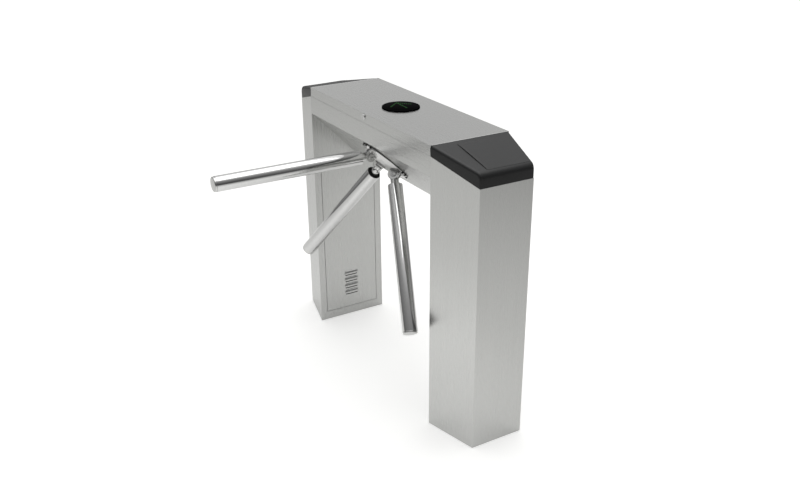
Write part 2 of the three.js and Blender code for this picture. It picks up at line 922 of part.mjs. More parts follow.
// Arms: Z runs along the arm from its pivot, and X along the pivot pin
function armKnuckle() {
  const spigotStart = sealEnd + seamGap;
  const stem = turned([
    [0, 0],
    [neckRadius, 0],
    [neckRadius, spigotStart],
    [tubeBore, spigotStart],
    [tubeBore, spigotStart + spigotLength],
    [0, spigotStart + spigotLength],
  ]);
  const halfEye = eyeWidth / 2;
  const eye = rodAlongX(eyeRadius, -halfEye, halfEye, roundSides);
  const bore = rodAlongX(pivotPinRadius + pinClearance, -halfEye - overrun, halfEye + overrun);
  return cut(join(eye, stem), lugSpace(1), lugSpace(-1), bore);
}

function lugSpace(side) {
  const reach = lugRadius + overrun;
  const space = block([-lugRadius, -reach, -lugRadius], [lugRadius, reach, lugRadius + seamGap]);
  return space.translate(side * (eyeWidth / 2 + lugRadius), 0, 0);
}

function armSeal() {
  return turnedRing(
    [
      [neckRadius + seamGap, sealStart],
      [tubeBore, sealStart],
      [tubeBore, sealEnd],
      [neckRadius + seamGap, sealEnd],
    ],
    tubeSides,
  );
}

function armTube() {
  const end = armEnd - plugHeadLength - seamGap;
  return turnedRing(
    [
      [armRadius - armWall, armStart],
      [armRadius, armStart],
      [armRadius, end],
      [armRadius - armWall, end],
    ],
    tubeSides,
  );
}

function armPlug() {
  const headStart = armEnd - plugHeadLength;
  return turned(
    [
      [0, headStart - plugSpigotLength],
      [tubeBore, headStart - plugSpigotLength],
      [tubeBore, headStart],
      [armRadius - plugGroove, headStart],
      [armRadius - plugGroove, armEnd - plugChamfer],
      [armRadius - plugGroove - plugChamfer, armEnd],
      [0, armEnd],
    ],
    tubeSides,
  );
}

function pivotPin() {
  const grip = eyeWidth / 2 + eyeSideGap + lugWall + seamGap;
  const pin = rodAlongX(pivotPinRadius, -grip, grip);
  const heads = [
    rodAlongX(pivotHeadRadius, grip, grip + pivotHeadHeight),
    rodAlongX(pivotHeadRadius, -grip - pivotHeadHeight, -grip),
  ];
  return join(pin, ...heads);
}

// Mechanism frame
function mechanismFrame(posts) {
  const plate = (low) =>
    block([-frameHalfWidth, -frameDown, low], [frameHalfWidth, frameUp, low + framePlate]);
  const pieces = [plate(rearPlateBack)];
  for (const x of [-frameHalfWidth + pillarInset, frameHalfWidth - pillarInset]) {
    for (const y of [-frameDown + pillarInset, frameUp - pillarInset]) {
      const pillar = rod(pillarRadius, rearPlateFace - weldDepth, frontPlateBack + weldDepth, smallSides);
      pieces.push(pillar.translate(x, y, 0));
    }
  }
  const bossRadius = bearingRadius + bearingBossWall;
  const frontSeat = frontPlateFace - bearingLip - bearingWidth;
  const rearSeat = rearPlateBack + bearingLip + bearingWidth;
  pieces.push(rod(bossRadius, frontSeat, frontPlateFace, roundSides));
  pieces.push(rod(bossRadius, rearPlateBack, rearSeat, roundSides));
  const bores = [
    rod(bearingLipRadius, rearPlateBack - overrun, frontPlateFace + overrun, roundSides),
    rod(bearingRadius, frontSeat - overrun, frontPlateFace - bearingLip, roundSides),
    rod(bearingRadius, rearPlateBack + bearingLip, rearSeat + overrun, roundSides),
  ];
  return cut(join(plate(frontPlateBack), ...pieces, ...posts), ...bores);
}

// Lock wheel, with notches round its rim
function lockWheel() {
  const pitch = (2 * Math.PI) / notchCount;
  const notchHalf = Math.asin(notchWidth / 2 / lockWheelRadius);
  const floorRadius = lockWheelRadius - notchDepth;
  const floorHalf = Math.asin(notchWidth / 2 / floorRadius);
  const points = [];
  const add = (radius, angle) => points.push([radius * Math.cos(angle), radius * Math.sin(angle)]);
  for (let i = 0; i < notchCount; i++) {
    const middle = i * pitch;
    add(floorRadius, middle - floorHalf);
    add(floorRadius, middle + floorHalf);
    for (let step = 0; step <= notchRimSteps; step++) {
      const rimSpan = pitch - 2 * notchHalf;
      add(lockWheelRadius, middle + notchHalf + (rimSpan * step) / notchRimSteps);
    }
  }
  const low = lockWheelPlace;
  const disc = prism(outline(points), low, low + lockWheelThickness);
  return cut(disc, rod(boreRadius, low - overrun, low + lockWheelThickness + overrun, roundSides));
}

// Pawls: X runs from the pivot to the nose and Y towards the lock wheel, mirrored for the other side
function pawlPivot(side) {
  const inward = lockWheelRadius + pawlStandoff;
  const x = pawlArm * Math.cos(pawlTurn) + inward * Math.sin(pawlTurn);
  const y = -pawlArm * Math.sin(pawlTurn) + inward * Math.cos(pawlTurn);
  return [-side * x, -y];
}

function pawlFrame(side) {
  const group = new THREE.Group();
  const [x, y] = pawlPivot(side);
  group.position.set(x, y, 0);
  group.rotation.z = -side * pawlTurn;
  return group;
}

function pawl(side) {
  const low = lockWheelPlace + (lockWheelThickness - pawlThickness) / 2;
  const high = low + pawlThickness;
  const half = pawlBarWidth / 2;
  const noseX = pawlArm + pawlNoseLead;
  const noseTip = pawlStandoff - pawlNoseGap;
  const shape = outline(
    [
      [-pawlTail, -half],
      [noseX + pawlNoseWidth / 2, -half],
      [noseX + pawlNoseWidth / 2, noseTip],
      [noseX - pawlNoseWidth / 2, noseTip],
      [noseX - pawlNoseWidth / 2, half],
      [-pawlTail, half],
    ].map(([x, y]) => [side * x, y]),
  );
  const body = join(prism(shape, low, high), rod(pawlHubRadius, low, high));
  return cut(body, rod(pawlPinRadius + pinClearance, low - overrun, high + overrun));
}

function pawlPost(side) {
  const [x, y] = pawlPivot(side);
  const low = lockWheelPlace + (lockWheelThickness - pawlThickness) / 2 - pawlPinEndGap;
  return rod(pawlPinRadius, low, frontPlateBack + weldDepth).translate(x, y, 0);
}

function solenoid(side) {
  const top = frontPlateBack - seamGap;
  const x = -side * plungerOffset;
  const middleZ = lockWheelPlace + lockWheelThickness / 2;
  const body = block(
    [x - solenoidWidth / 2, -solenoidOffset - solenoidLength, top - solenoidHeight],
    [x + solenoidWidth / 2, -solenoidOffset, top],
  );
  const bore = rodAlongY(plungerRadius + seamGap, -solenoidOffset - plungerInside - overrun, 0, smallSides);
  return cut(body, bore.translate(x, 0, middleZ));
}

function plunger(side) {
  const x = -side * plungerOffset;
  const top = -pawlBarWidth / 2 - plungerGap;
  const rodPiece = rodAlongY(plungerRadius, -solenoidOffset - plungerInside + overrun, top, smallSides);
  return rodPiece.translate(x, 0, lockWheelPlace + lockWheelThickness / 2);
}

// Gears
function gearOutline(teeth, startAngle) {
  const pitchRadius = (gearModule * teeth) / 2;
  const tipRadius = pitchRadius + gearModule;
  const rootRadius = pitchRadius - dedendumShare * gearModule;
  const halfPitch = (Math.PI * gearModule) / 4 - toothSlack;
  const halfTip = halfPitch - gearModule * Math.tan(pressureAngle);
  const halfRoot = halfPitch + dedendumShare * gearModule * Math.tan(pressureAngle);
  const points = [];
  const add = (radius, offset, middle) => {
    const angle = middle + Math.asin(offset / radius);
    points.push([radius * Math.cos(angle), radius * Math.sin(angle)]);
  };
  for (let i = 0; i < teeth; i++) {
    const middle = startAngle + (i * 2 * Math.PI) / teeth;
    add(rootRadius, -halfRoot, middle);
    add(tipRadius, -halfTip, middle);
    add(tipRadius, halfTip, middle);
    add(rootRadius, halfRoot, middle);
  }
  return outline(points);
}

function gearSpacing(teeth) {
  return (gearModule * (rotorTeeth + teeth)) / 2 + meshSlack;
}

function rotorGear() {
  const high = gearPlace + gearThickness;
  const wheel = prism(gearOutline(rotorTeeth, 0), gearPlace, high);
  return cut(wheel, rod(boreRadius, gearPlace - overrun, high + overrun, roundSides));
}

function centringGear() {
  const high = gearPlace + gearThickness;
  const wheel = prism(gearOutline(centringTeeth, Math.PI / centringTeeth), gearPlace, high);
  const crank = rod(crankPinRadius, gearPlace - crankPinLength, gearPlace + weldDepth, smallSides);
  const drilled = cut(wheel, rod(gearAxleRadius + pinClearance, gearPlace - overrun, high + overrun));
  return join(drilled, crank.translate(0, -crankRadius, 0));
}

function centringPosts() {
  const x = gearSpacing(centringTeeth);
  const foot = rearPlateFace - weldDepth;
  const axle = rod(gearAxleRadius, foot, gearPlace + gearThickness + gearAxleTip);
  const post = rod(springPostRadius, foot, springZ() + springPostTip, smallSides);
  return [axle.translate(x, 0, 0), post.translate(x, springPostPlace, 0)];
}

function springZ() {
  return gearPlace - crankPinLength + crankPinRadius * 2;
}

class SpringCurve extends THREE.Curve {
  constructor(length) {
    super();
    this.length = length;
  }

  getPoint(share, target = new THREE.Vector3()) {
    const wound = THREE.MathUtils.clamp((share - springStemShare) / (1 - 2 * springStemShare), 0, 1);
    const fade = Math.min(1, share / springStemShare, (1 - share) / springStemShare);
    const reach = springRadius * THREE.MathUtils.smoothstep(fade, 1 / 2, 1);
    const angle = wound * springTurns * 2 * Math.PI;
    return target.set(reach * Math.cos(angle), -share * this.length, reach * Math.sin(angle));
  }
}

function centringSpring() {
  const start = -crankRadius - crankPinRadius - seamGap;
  const end = springPostPlace + springPostRadius + seamGap;
  const curve = new SpringCurve(start - end);
  const options = {
    steps: Math.round((springTurns * springStepsPerTurn) / (1 - 2 * springStemShare)),
    extrudePath: curve,
    bevelEnabled: false,
    curveSegments: 1,
  };
  const section = Array.from({ length: springSides }, (_, i) => {
    const angle = (2 * Math.PI * i) / springSides;
    return [springWire * Math.cos(angle), springWire * Math.sin(angle)];
  });
  const coil = new THREE.ExtrudeGeometry(outline(section), options);
  return coil.translate(gearSpacing(centringTeeth), start, springZ());
}

function damperPinion() {
  const high = gearPlace + gearThickness;
  const start = Math.PI / damperTeeth;
  const wheel = prism(gearOutline(damperTeeth, start), gearPlace, high);
  const shaftEnd = rearPlateFace + seamGap + damperHeight - damperShaftDepth;
  return join(wheel, rod(damperShaftRadius, shaftEnd, gearPlace + weldDepth, smallSides));
}

function damperBody() {
  const low = rearPlateFace + seamGap;
  const high = low + damperHeight;
  const body = rod(damperRadius, low, high, roundSides);
  const boreFloor = high - damperShaftDepth - damperShaftEndGap;
  const bore = rod(damperShaftRadius + pinClearance, boreFloor, high + overrun, smallSides);
  return cut(body, bore).translate(-gearSpacing(damperTeeth), 0, 0);
}

// A closed electronics box with ventilation grooves in its top
function electronicsBox() {
  const low = beamBottomZ + sheetWall + seamGap;
  const back = backY - sheetWall - boxFromBack;
  const body = block([-boxLength / 2, back - boxWidth, low], [boxLength / 2, back, low + boxHeight]);
  const grooves = [];
  for (let i = 0; i < ventCount; i++) {
    const middle = back - (boxWidth * (i + 1)) / (ventCount + 1);
    const halfLength = (boxLength * ventLengthShare) / 2;
    grooves.push(
      block(
        [-halfLength, middle - ventWidth / 2, low + boxHeight - ventDepth],
        [halfLength, middle + ventWidth / 2, low + boxHeight + overrun],
      ),
    );
  }
  return cut(body, ...grooves);
}

// Assembly
const turnstile = new THREE.Group();
const cabinet = new THREE.Group();
cabinet.position.y = -(armTipY + backmostY) / 2;
turnstile.add(cabinet);

for (const [name, side] of [["right", 1], ["left", -1]]) {
  const end = new THREE.Group();
  end.rotation.z = side > 0 ? 0 : Math.PI;
  cabinet.add(end);
  addPiece(end, `leg_shell_${name}`, legShell(side, side < 0), "brushedSteel");
  addPiece(end, `base_plate_${name}`, basePlate(), "zincSteel");
  addPiece(end, `door_${name}`, door(side), "brushedSteel");
  addPiece(end, `end_cap_${name}`, endCap(), "blackPlastic");
  addPiece(end, `reader_cover_${name}`, readerCover(), "blackPlastic");
  addPiece(end, `card_reader_${name}`, cardReader(), "greyPlastic");
}

addPiece(cabinet, "beam_shell", beamShell(), "brushedSteel");
addPiece(cabinet, "top_lid", topLid(), "brushedSteel");
addPiece(cabinet, "display_bezel", displayBezel(), "blackPlastic");
addPiece(cabinet, "display_lens", displayLens(), "darkGlass");
addPiece(cabinet, "display_board", displayBoard(), "circuitGreen");
addPiece(cabinet, "hinge_leaf_beam", hingeLeaf(0, seamZ - hingeLeafHeight, seamZ), "zincSteel");
addPiece(cabinet, "hinge_leaf_lid", hingeLeaf(1, seamZ, seamZ + hingeLeafHeight), "zincSteel");
addPiece(cabinet, "hinge_pin", hingePin(), "zincSteel");
addPiece(cabinet, "lid_lock_body", lockBody(), "castSteel");
addPiece(cabinet, "lid_lock_plug", lockPlug(), "brassYellow");
addPiece(cabinet, "lid_keeper", lidKeeper(), "zincSteel");

for (const [name, side] of [["controller_box", -1], ["power_supply", 1]]) {
  const unit = addPiece(cabinet, name, electronicsBox(), "greyPlastic");
  unit.position.x = side * (legInnerX - boxFromLeg - boxLength / 2);
}

const mechanism = new THREE.Group();
mechanism.position.set(0, apexY, apexZ);
mechanism.rotation.x = mechanismTurn;
cabinet.add(mechanism);

const posts = [pawlPost(1), pawlPost(-1), ...centringPosts()];
addPiece(mechanism, "mechanism_frame", mechanismFrame(posts), "zincSteel");
const frontBearing = addPiece(mechanism, "front_bearing", bearing(), "castSteel");
frontBearing.position.z = frontPlateFace - bearingLip - bearingWidth / 2 - seamGap;
const rearBearing = addPiece(mechanism, "rear_bearing", bearing(), "castSteel");
rearBearing.position.z = rearPlateBack + bearingLip + bearingWidth / 2 + seamGap;
addPiece(mechanism, "main_shaft", mainShaft(), "castSteel");
addPiece(mechanism, "hub", hub(), "castSteel");
addPiece(mechanism, "hub_cap", hubCap(), "castSteel");
addPiece(mechanism, "lock_wheel", lockWheel(), "zincSteel");
addPiece(mechanism, "rotor_gear", rotorGear(), "zincSteel");
addPiece(mechanism, "centring_spring", centringSpring(), "zincSteel");
addPiece(mechanism, "damper_body", damperBody(), "greyPlastic");
const centring = addPiece(mechanism, "centring_gear", centringGear(), "zincSteel");
centring.position.x = gearSpacing(centringTeeth);
const pinion = addPiece(mechanism, "damper_pinion", damperPinion(), "brassYellow");
pinion.position.x = -gearSpacing(damperTeeth);

for (const [name, side] of [["entry", 1], ["exit", -1]]) {
  const frame = pawlFrame(side);
  mechanism.add(frame);
  addPiece(frame, `${name}_pawl`, pawl(side), "castSteel");
  addPiece(frame, `${name}_solenoid`, solenoid(side), "greyPlastic");
  addPiece(frame, `${name}_plunger`, plunger(side), "castSteel");
}

for (let i = 0; i < armCount; i++) {
  const sector = new THREE.Group();
  sector.rotation.z = (2 * Math.PI * i) / armCount;
  mechanism.add(sector);
  const arm = new THREE.Group();
  arm.position.set(0, pivotRadius, pivotZ);
  arm.rotation.x = -armLean;
  sector.add(arm);
  addPiece(arm, `arm_knuckle_${i + 1}`, armKnuckle(), "castSteel");
  addPiece(arm, `arm_seal_${i + 1}`, armSeal(), "blackRubber");
  addPiece(arm, `arm_tube_${i + 1}`, armTube(), "polishedSteel");
  addPiece(arm, `arm_plug_${i + 1}`, armPlug(), "castSteel");
  addPiece(arm, `pivot_pin_${i + 1}`, pivotPin(), "castSteel");
}

export default turnstile;
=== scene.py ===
import json
from math import atan2, cos, hypot, pi, radians, sin, sqrt, tan

import bmesh
import bpy
from mathutils import Matrix, Vector


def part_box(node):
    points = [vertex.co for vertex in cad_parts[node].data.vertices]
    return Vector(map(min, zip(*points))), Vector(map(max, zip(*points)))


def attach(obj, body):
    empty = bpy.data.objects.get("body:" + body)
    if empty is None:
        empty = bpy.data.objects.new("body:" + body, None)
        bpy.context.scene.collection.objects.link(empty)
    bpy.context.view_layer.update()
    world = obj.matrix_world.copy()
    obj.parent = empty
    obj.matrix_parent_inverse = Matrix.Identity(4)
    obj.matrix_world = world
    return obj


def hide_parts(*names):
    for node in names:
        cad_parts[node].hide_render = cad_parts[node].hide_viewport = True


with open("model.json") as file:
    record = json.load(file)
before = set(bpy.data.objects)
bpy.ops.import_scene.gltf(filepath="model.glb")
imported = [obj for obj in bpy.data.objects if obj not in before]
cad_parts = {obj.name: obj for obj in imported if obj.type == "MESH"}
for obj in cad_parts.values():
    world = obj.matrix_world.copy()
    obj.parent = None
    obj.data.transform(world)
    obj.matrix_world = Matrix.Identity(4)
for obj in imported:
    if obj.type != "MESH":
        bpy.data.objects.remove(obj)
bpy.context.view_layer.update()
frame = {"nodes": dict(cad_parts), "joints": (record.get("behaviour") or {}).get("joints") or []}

NODES = frame["nodes"]
JOINTS = {joint["name"]: joint for joint in frame["joints"]}
MM = 0.001
RIGHT_ANGLE = pi / 2
CAMERA_NAME = "camera"

# Camera, fitted to the cabinet's edges in the photograph
CAMERA_PLACE = Vector((2.501, -1.1847, 1.731))
CAMERA_YAW = radians(150.12)
CAMERA_PITCH = radians(-24.088)
CAMERA_ROLL = radians(-0.487)
CAMERA_LENS = 39.92
CAMERA_SENSOR = 36
CAMERA_NEAR = 0.05
CAMERA_FAR = 100

# Light and stage
WHITE = (1, 1, 1, 1)
LAMP_PLACE = Vector((0.2, 0.2, 3.8))
LAMP_AIM = Vector((0, 0.15, 0.5))
LAMP_SIZE = 3.2
LAMP_POWER = 46
FLOOR_SIZE = 60
FLOOR_DEPTH = 0.1
FLOOR_MIDDLE = (-1.2, -1.2, 0)
FLOOR_NEAR = 2.8
FLOOR_FAR = 8.4
FLOOR_NEAR_TONE = (0.84, 0.84, 0.826)
FLOOR_FAR_TONE = (0.15, 0.15, 0.148)
FLOOR_NEAR_GLOW = 0.42
FLOOR_FAR_GLOW = 1.0

# The floor about the feet that the steel mirrors brighter: an oval, measured on a squeezed floor
FLOOR_SQUEEZE = (0.5, 1, 1)
FOOT_MIDDLE = (0.2, -0.2, 0)
FOOT_NEAR = 0.2
FOOT_FAR = 1.0
FOOT_GLOW = 0.36
FLOOR_MIRROR = 0.09

# Levels of the sky, each at a dot product with the direction where it is brightest
SKY_POLE = Vector((-0.33, 0.19, 0.92)).normalized()
SKY_STEPS = (
    (-1, 0.07), (-0.37, 0.07), (-0.1, 0.12), (0.09, 0.2), (0.25, 0.27),
    (0.4, 0.36), (0.48, 0.52), (0.56, 0.72), (0.6, 0.68), (0.65, 0.51),
    (0.71, 0.51), (0.79, 0.76), (0.87, 0.98), (0.94, 1.16), (1, 1.28),
)

# Shader settings
METAL = {"Metallic": 1}
BRUSHED = {"Metallic": 1, "Anisotropic": 0.45}
MOULDED = {"Metallic": 0, "Specular IOR Level": 0.45}
PLASTIC = {"Metallic": 0, "Specular IOR Level": 0.3}
MATT = {"Metallic": 0, "Specular IOR Level": 0.2}
GLASS = {"Metallic": 0, "Specular IOR Level": 0.001}
GLOW = {**GLASS, "Emission Color": (0.1, 0.32, 0.1, 1), "Emission Strength": 0.5}

# Brushed steel: pitches and runs are cells per metre across and along the grain
BRUSH_DARK = (0.55, 0.553, 0.543)
BRUSH_LIGHT = (0.564, 0.567, 0.556)
BRUSH_ROUGHNESS = (0.262, 0.288)
LINE_PITCH = 2400
LINE_RUN = 14
LINE_DETAIL = 3
LINE_DEPTH = 0.03 * MM
LINE_STRENGTH = 0.03
STREAK_PITCH = 150
STREAK_RUN = 1.4
STREAK_DETAIL = 2

# Mottled finishes: dark and light tone, roughness, grain in cells per metre, relief and settings
MOTTLED = {
    "polished_steel": ((0.62, 0.62, 0.616), (0.66, 0.66, 0.656), (0.06, 0.11), 140, 0.01, METAL),
    "cast_steel": ((0.58, 0.58, 0.572), (0.63, 0.63, 0.622), (0.15, 0.24), 300, 0.02, METAL),
    "zinc_steel": ((0.42, 0.44, 0.46), (0.55, 0.57, 0.58), (0.32, 0.5), 130, 0.03, METAL),
    "black_plastic": ((0.007, 0.0072, 0.0075), (0.011, 0.0113, 0.0118), (0.4, 0.5), 900, 0.1, MOULDED),
    "gloss_black": ((0.001, 0.001, 0.0012), (0.002, 0.002, 0.0022), (0.25, 0.33), 400, 0.02, GLASS),
    "grey_plastic": ((0.10, 0.105, 0.11), (0.13, 0.135, 0.14), (0.45, 0.6), 900, 0.12, PLASTIC),
    "dark_glass": ((0.0004, 0.0004, 0.0005), (0.0008, 0.0008, 0.001), (0.2, 0.26), 60, 0.005, GLASS),
    "black_rubber": ((0.012, 0.012, 0.012), (0.02, 0.02, 0.02), (0.6, 0.8), 1200, 0.15, MATT),
    "brass": ((0.55, 0.40, 0.17), (0.66, 0.50, 0.24), (0.2, 0.34), 300, 0.03, METAL),
    "circuit_board": ((0.01, 0.09, 0.04), (0.03, 0.16, 0.08), (0.3, 0.5), 260, 0.05, PLASTIC),
    "green_light": ((0.004, 0.012, 0.004), (0.006, 0.016, 0.006), (0.3, 0.4), 500, 0.02, GLOW),
}
GRAIN_DETAIL = 4
NOISE_LOW = 0.3
NOISE_HIGH = 0.7

# Sockets of the mix node that hold colours
MIX_DARK = 6
MIX_LIGHT = 7
MIX_COLOUR = 2

# Edges and roundness
WELD_DISTANCE = 0.002 * MM
SHARP_ANGLE = radians(32)
FLAT_ANGLE = radians(0.5)
EDGE_ANGLE = radians(25)
EDGE_STEPS = 2
SHEET_STEPS = 3
SHEET_EDGE = 1.4 * MM
BEAM_EDGE = 0.4 * MM
DOOR_EDGE = 0.7 * MM
PLATE_EDGE = 0.6 * MM
CORNER_STEPS = 6
SIDES = 48
FINE_SIDES = 96
HEXAGON = 6
SMOOTHING_SHARE = 0.5
BEAM_NODES = ("top_lid", "beam_shell")
PLATE_NODES = (
    "card_reader_right", "card_reader_left", "controller_box", "power_supply", "lock_wheel", "rotor_gear",
)

# Cabinet
LEG_LOW, LEG_HIGH = (Vector(corner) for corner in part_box("leg_shell_right"))
LID_LOW, LID_HIGH = (Vector(corner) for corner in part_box("top_lid"))
CENTRE_Y = (LEG_LOW.y + LEG_HIGH.y) / 2
HALF_DEPTH = LEG_HIGH.y - CENTRE_Y
END_HALF_WIDTH = 94 * MM
INNER_X = LEG_LOW.x
OUTER_X = LEG_HIGH.x
LEG_LENGTH = OUTER_X - INNER_X
SIDE_STRETCH = hypot(1, (HALF_DEPTH - END_HALF_WIDTH) / LEG_LENGTH)
CAP_INNER_HEIGHT = 33 * MM
TOP_Z = LID_HIGH.z
SEAM_Z = TOP_Z - CAP_INNER_HEIGHT

# End caps
CAP_TOP_FALL = 41 * MM
CAP_SEAM_FALL = 52 * MM
CAP_WALL = 3 * MM
CAP_CORNER = 4 * MM
CAP_SIDE_ROUND = 9 * MM
CAP_END_ROUND = 22 * MM
CAP_LEAST_ROUND = 0.8 * MM
CAP_ROUND_STEPS = 8
LIP_DEPTH = 12 * MM
LIP_RISE = 3 * MM
LIP_INSET = 2.3 * MM
LIP_WALL = 2 * MM

# Reader panels
PANEL_START = 18 * MM
PANEL_END = 15 * MM
PANEL_SIDE = -60 * MM
PANEL_MARGIN = 9 * MM
PANEL_GAP = 0.3 * MM
PANEL_HEIGHT = 3.2 * MM
PANEL_EDGE = 0.1 * MM
PANEL_COLUMNS = 40
PANEL_FADE = 0.4
PANEL_ACROSS_SHARES = (0, 0.012, 0.03, 0.06, 0.12, 0.25, 0.45, 0.7, 1)
PANEL_RISE_SHARES = (0.72, 0.93, 1, 0.95, 0.86, 0.68, 0.42, 0.16, 0)

# Louvres of the doors
LOUVRE_COUNT = 4
LOUVRE_LOWEST = 95.5 * MM
LOUVRE_SPACING = 28 * MM
HOOD_REACH = 6.4 * MM
HOOD_RISE = 14.5 * MM
HOOD_WALL = 1.2 * MM
HOOD_HALF = 29.7 * MM
HOOD_SUNK = 0.2 * MM
HOOD_STATIONS = 28
HOOD_STEPS = 10
HOOD_SQUARENESS = 10
HOOD_LEAST_SHARE = 0.25
# Painted shade below each hood, a black strip: its half length, top, bottom, corner and how proud it stands
HOOD_SHADE_HALF = 26.5 * MM
HOOD_SHADE_HIGH = -1.2 * MM
HOOD_SHADE_LOW = -7 * MM
HOOD_SHADE_ROUND = 2 * MM
HOOD_SHADE_PROUD = 0.35 * MM

# Display
DISPLAY_TUBE = 61.0 * MM
BEZEL_FLANGE = 63.8 * MM
BEZEL_TOP = 4.2 * MM
BEZEL_INNER = 59.0 * MM
BEZEL_DEPTH = 8 * MM
BEZEL_LEDGE = 3 * MM
BEZEL_SEAT = 0.3 * MM
BEZEL_ROUNDS = (0, 0, 0, 0.3 * MM, 1.6 * MM, 0.2 * MM, 0, 0)
LENS_RADIUS = 58.7 * MM
LENS_TOP = 4.0 * MM
LENS_BOTTOM = -2.7 * MM
LENS_ROUNDS = (0, 0.3 * MM, 0.6 * MM, 0)
LIGHT_RADIUS = 2.1 * MM
LIGHT_SIDES = 12
LIGHT_RISE = 0.25 * MM
LIGHT_SUNK = 0.6 * MM
LIGHT_SPACING = 7.4 * MM
ARROW_TIP = Vector((-45 * MM, 9 * MM))
ARROW_TAIL = Vector((28 * MM, 6 * MM))
ARROW_BARBS = (Vector((-10 * MM, -32 * MM)), Vector((-5 * MM, 41 * MM)))

# Parts under the display's board: place on it, width, depth and height
BOARD_CHIPS = (
    (-22 * MM, 8 * MM, 14 * MM, 14 * MM, 2 * MM),
    (8 * MM, -16 * MM, 10 * MM, 6 * MM, 1.6 * MM),
    (24 * MM, 12 * MM, 9 * MM, 5 * MM, 1.6 * MM),
    (-6 * MM, 28 * MM, 7 * MM, 4 * MM, 1.4 * MM),
)
BOARD_PLUGS = (
    (-24 * MM, -18 * MM, 8 * MM, 16 * MM, 8 * MM),
    (30 * MM, -8 * MM, 7 * MM, 12 * MM, 7 * MM),
)
BOARD_GAP = 0.05 * MM
CHIP_CORNER = 0.3 * MM
CHIP_STEPS = 2

# Rotor, in its own frame: Z along the axis, out of the sloping face, and the first arm over Y
APEX = Vector(JOINTS["rotor_spin"]["pos_m"])
AXIS = Vector(JOINTS["rotor_spin"]["axis"]).normalized()
ARM_COUNT = 3
THIRD = 2 * pi / ARM_COUNT
ARM_LEAN = radians(45)
PIVOT_RADIUS = 59 * MM
HUB_BACK = 38.7 * MM
HUB_RIM_TOP = 41.2 * MM
HUB_TOP = 60.7 * MM
HUB_RADIUS = 95 * MM
HUB_NECK_RADIUS = 17 * MM
HUB_NECK_BACK = 32 * MM
HUB_BORE = 12.9 * MM
HUB_ROOF = 5 * MM
BELL_STEPS = 14
LUG_RADIUS = 20 * MM
LUG_INNER = 5.4 * MM
LUG_OUTER = 10.4 * MM
LUG_FOOT = 40.2 * MM
LUG_SPREAD = 6 * MM
EYE_RADIUS = 18 * MM
EYE_HALF = 4.9 * MM
POCKET_EYE_RADIUS = 18.5 * MM
POCKET_NECK_RADIUS = 15.2 * MM
NECK_RADIUS = 14 * MM
SPOT_RADIUS = 12.2 * MM
SPOT_DEPTH = 12 * MM
SPOT_SUNK = 0.3 * MM
HUB_VOXEL = 0.9 * MM
HUB_SMOOTHINGS = 6
KNUCKLE_VOXEL = 0.7 * MM
KNUCKLE_SMOOTHINGS = 4
HUB_CAP_RADIUS = 12 * MM
HUB_CAP_HEIGHT = 3 * MM
HUB_CAP_GAP = 0.3 * MM
HUB_CAP_ROUNDS = (0, 0.3 * MM, 2 * MM, 0)

# Pivot pins
PIN_RADIUS = 6 * MM
PIN_GAP = 0.3 * MM
PIN_GRIP = 10.7 * MM
PIN_HEAD_RADIUS = 11 * MM
PIN_HEAD_HEIGHT = 3 * MM
PIN_EDGE_HEIGHT = 1.2 * MM
PIN_EDGE_WIDTH = 1.4 * MM
PIN_EDGE_MIDDLE = 0.4 * MM
PIN_SOCKET_MOUTH = 5.2 * MM
PIN_SOCKET_RADIUS = 4.6 * MM
PIN_SOCKET_LEAD = 0.3 * MM
PIN_SOCKET_DEPTH = 3 * MM
PIN_SOCKET_TIP = 3.4 * MM

# Arms, in each arm's frame: Z along the arm, from its pivot
SEAL_START = 38.4 * MM
SEAL_END = 43.4 * MM
SEAL_BORE = 14.3 * MM
SEAL_ROUNDS = (1.2 * MM, 1.2 * MM, 0.4 * MM, 0.4 * MM)
TUBE_START = 38 * MM
TUBE_END = 538.26 * MM
TUBE_RADIUS = 25 * MM
TUBE_WALL = 1.5 * MM
TUBE_ROUNDS = (0.3 * MM, 0.6 * MM, 0.3 * MM, 0.3 * MM)
TUBE_STEPS = 3
SPIGOT_RADIUS = 23.2 * MM
SPIGOT_START = 43.7 * MM
SPIGOT_END = 73.7 * MM
CHEEK_MARGIN = 4 * MM
CHEEK_END = 20 * MM
PLUG_START = 514.5 * MM
PLUG_HEAD = 538.56 * MM
PLUG_END = 546.56 * MM
PLUG_RADIUS = 24.2 * MM
PLUG_DOME = 1.2 * MM
PLUG_ROUNDS = (0, 1 * MM, 0, 0.2 * MM, 3 * MM, 0)

# Rim pads
PAD_ANGLES = (radians(-14.5), radians(2.5), radians(14.5))
PAD_LOW = 88 * MM
PAD_HIGH = 96.5 * MM
PAD_WIDTH = 8 * MM
PAD_ROUND = 2 * MM
PAD_STEPS = 3
PAD_BACK = 37.6 * MM
PAD_FRONT = 43.5 * MM

# Lock
LOCK_HEAD_RADIUS = 9.5 * MM
LOCK_HEAD_HEIGHT = 3.2 * MM
LOCK_HEAD_BEVEL = 0.8 * MM
LOCK_SEAT = 0.3 * MM
LOCK_BODY_RADIUS = 8 * MM
LOCK_BODY_ROUNDS = (0, 0, 0, 0, 0.3 * MM, 0.4 * MM, 0.3 * MM)
LOCK_LENGTH = 28 * MM
LOCK_BORE = 5.3 * MM
LOCK_CORE_RADIUS = 5 * MM
LOCK_CORE_LOW = 1.85 * MM
LOCK_CORE_HIGH = 3.15 * MM
LOCK_CORE_ROUNDS = (0, 0.2 * MM, 0.5 * MM, 0)
KEY_SLOT_HALF_LENGTH = 2.6 * MM
KEY_SLOT_HALF_WIDTH = 0.45 * MM
KEY_SLOT_ROUND = 0.9 * KEY_SLOT_HALF_WIDTH
KEY_SLOT_STEPS = 4
KEY_SLOT_RISE = 0.08 * MM

# Hemmed ends of the lid's top
HEM_WIDTH = 3.6 * MM
HEM_RISE = 0.42 * MM
HEM_STEPS = 8
HEM_SUNK = 0.1 * MM
HEM_INSET = 0.2 * MM

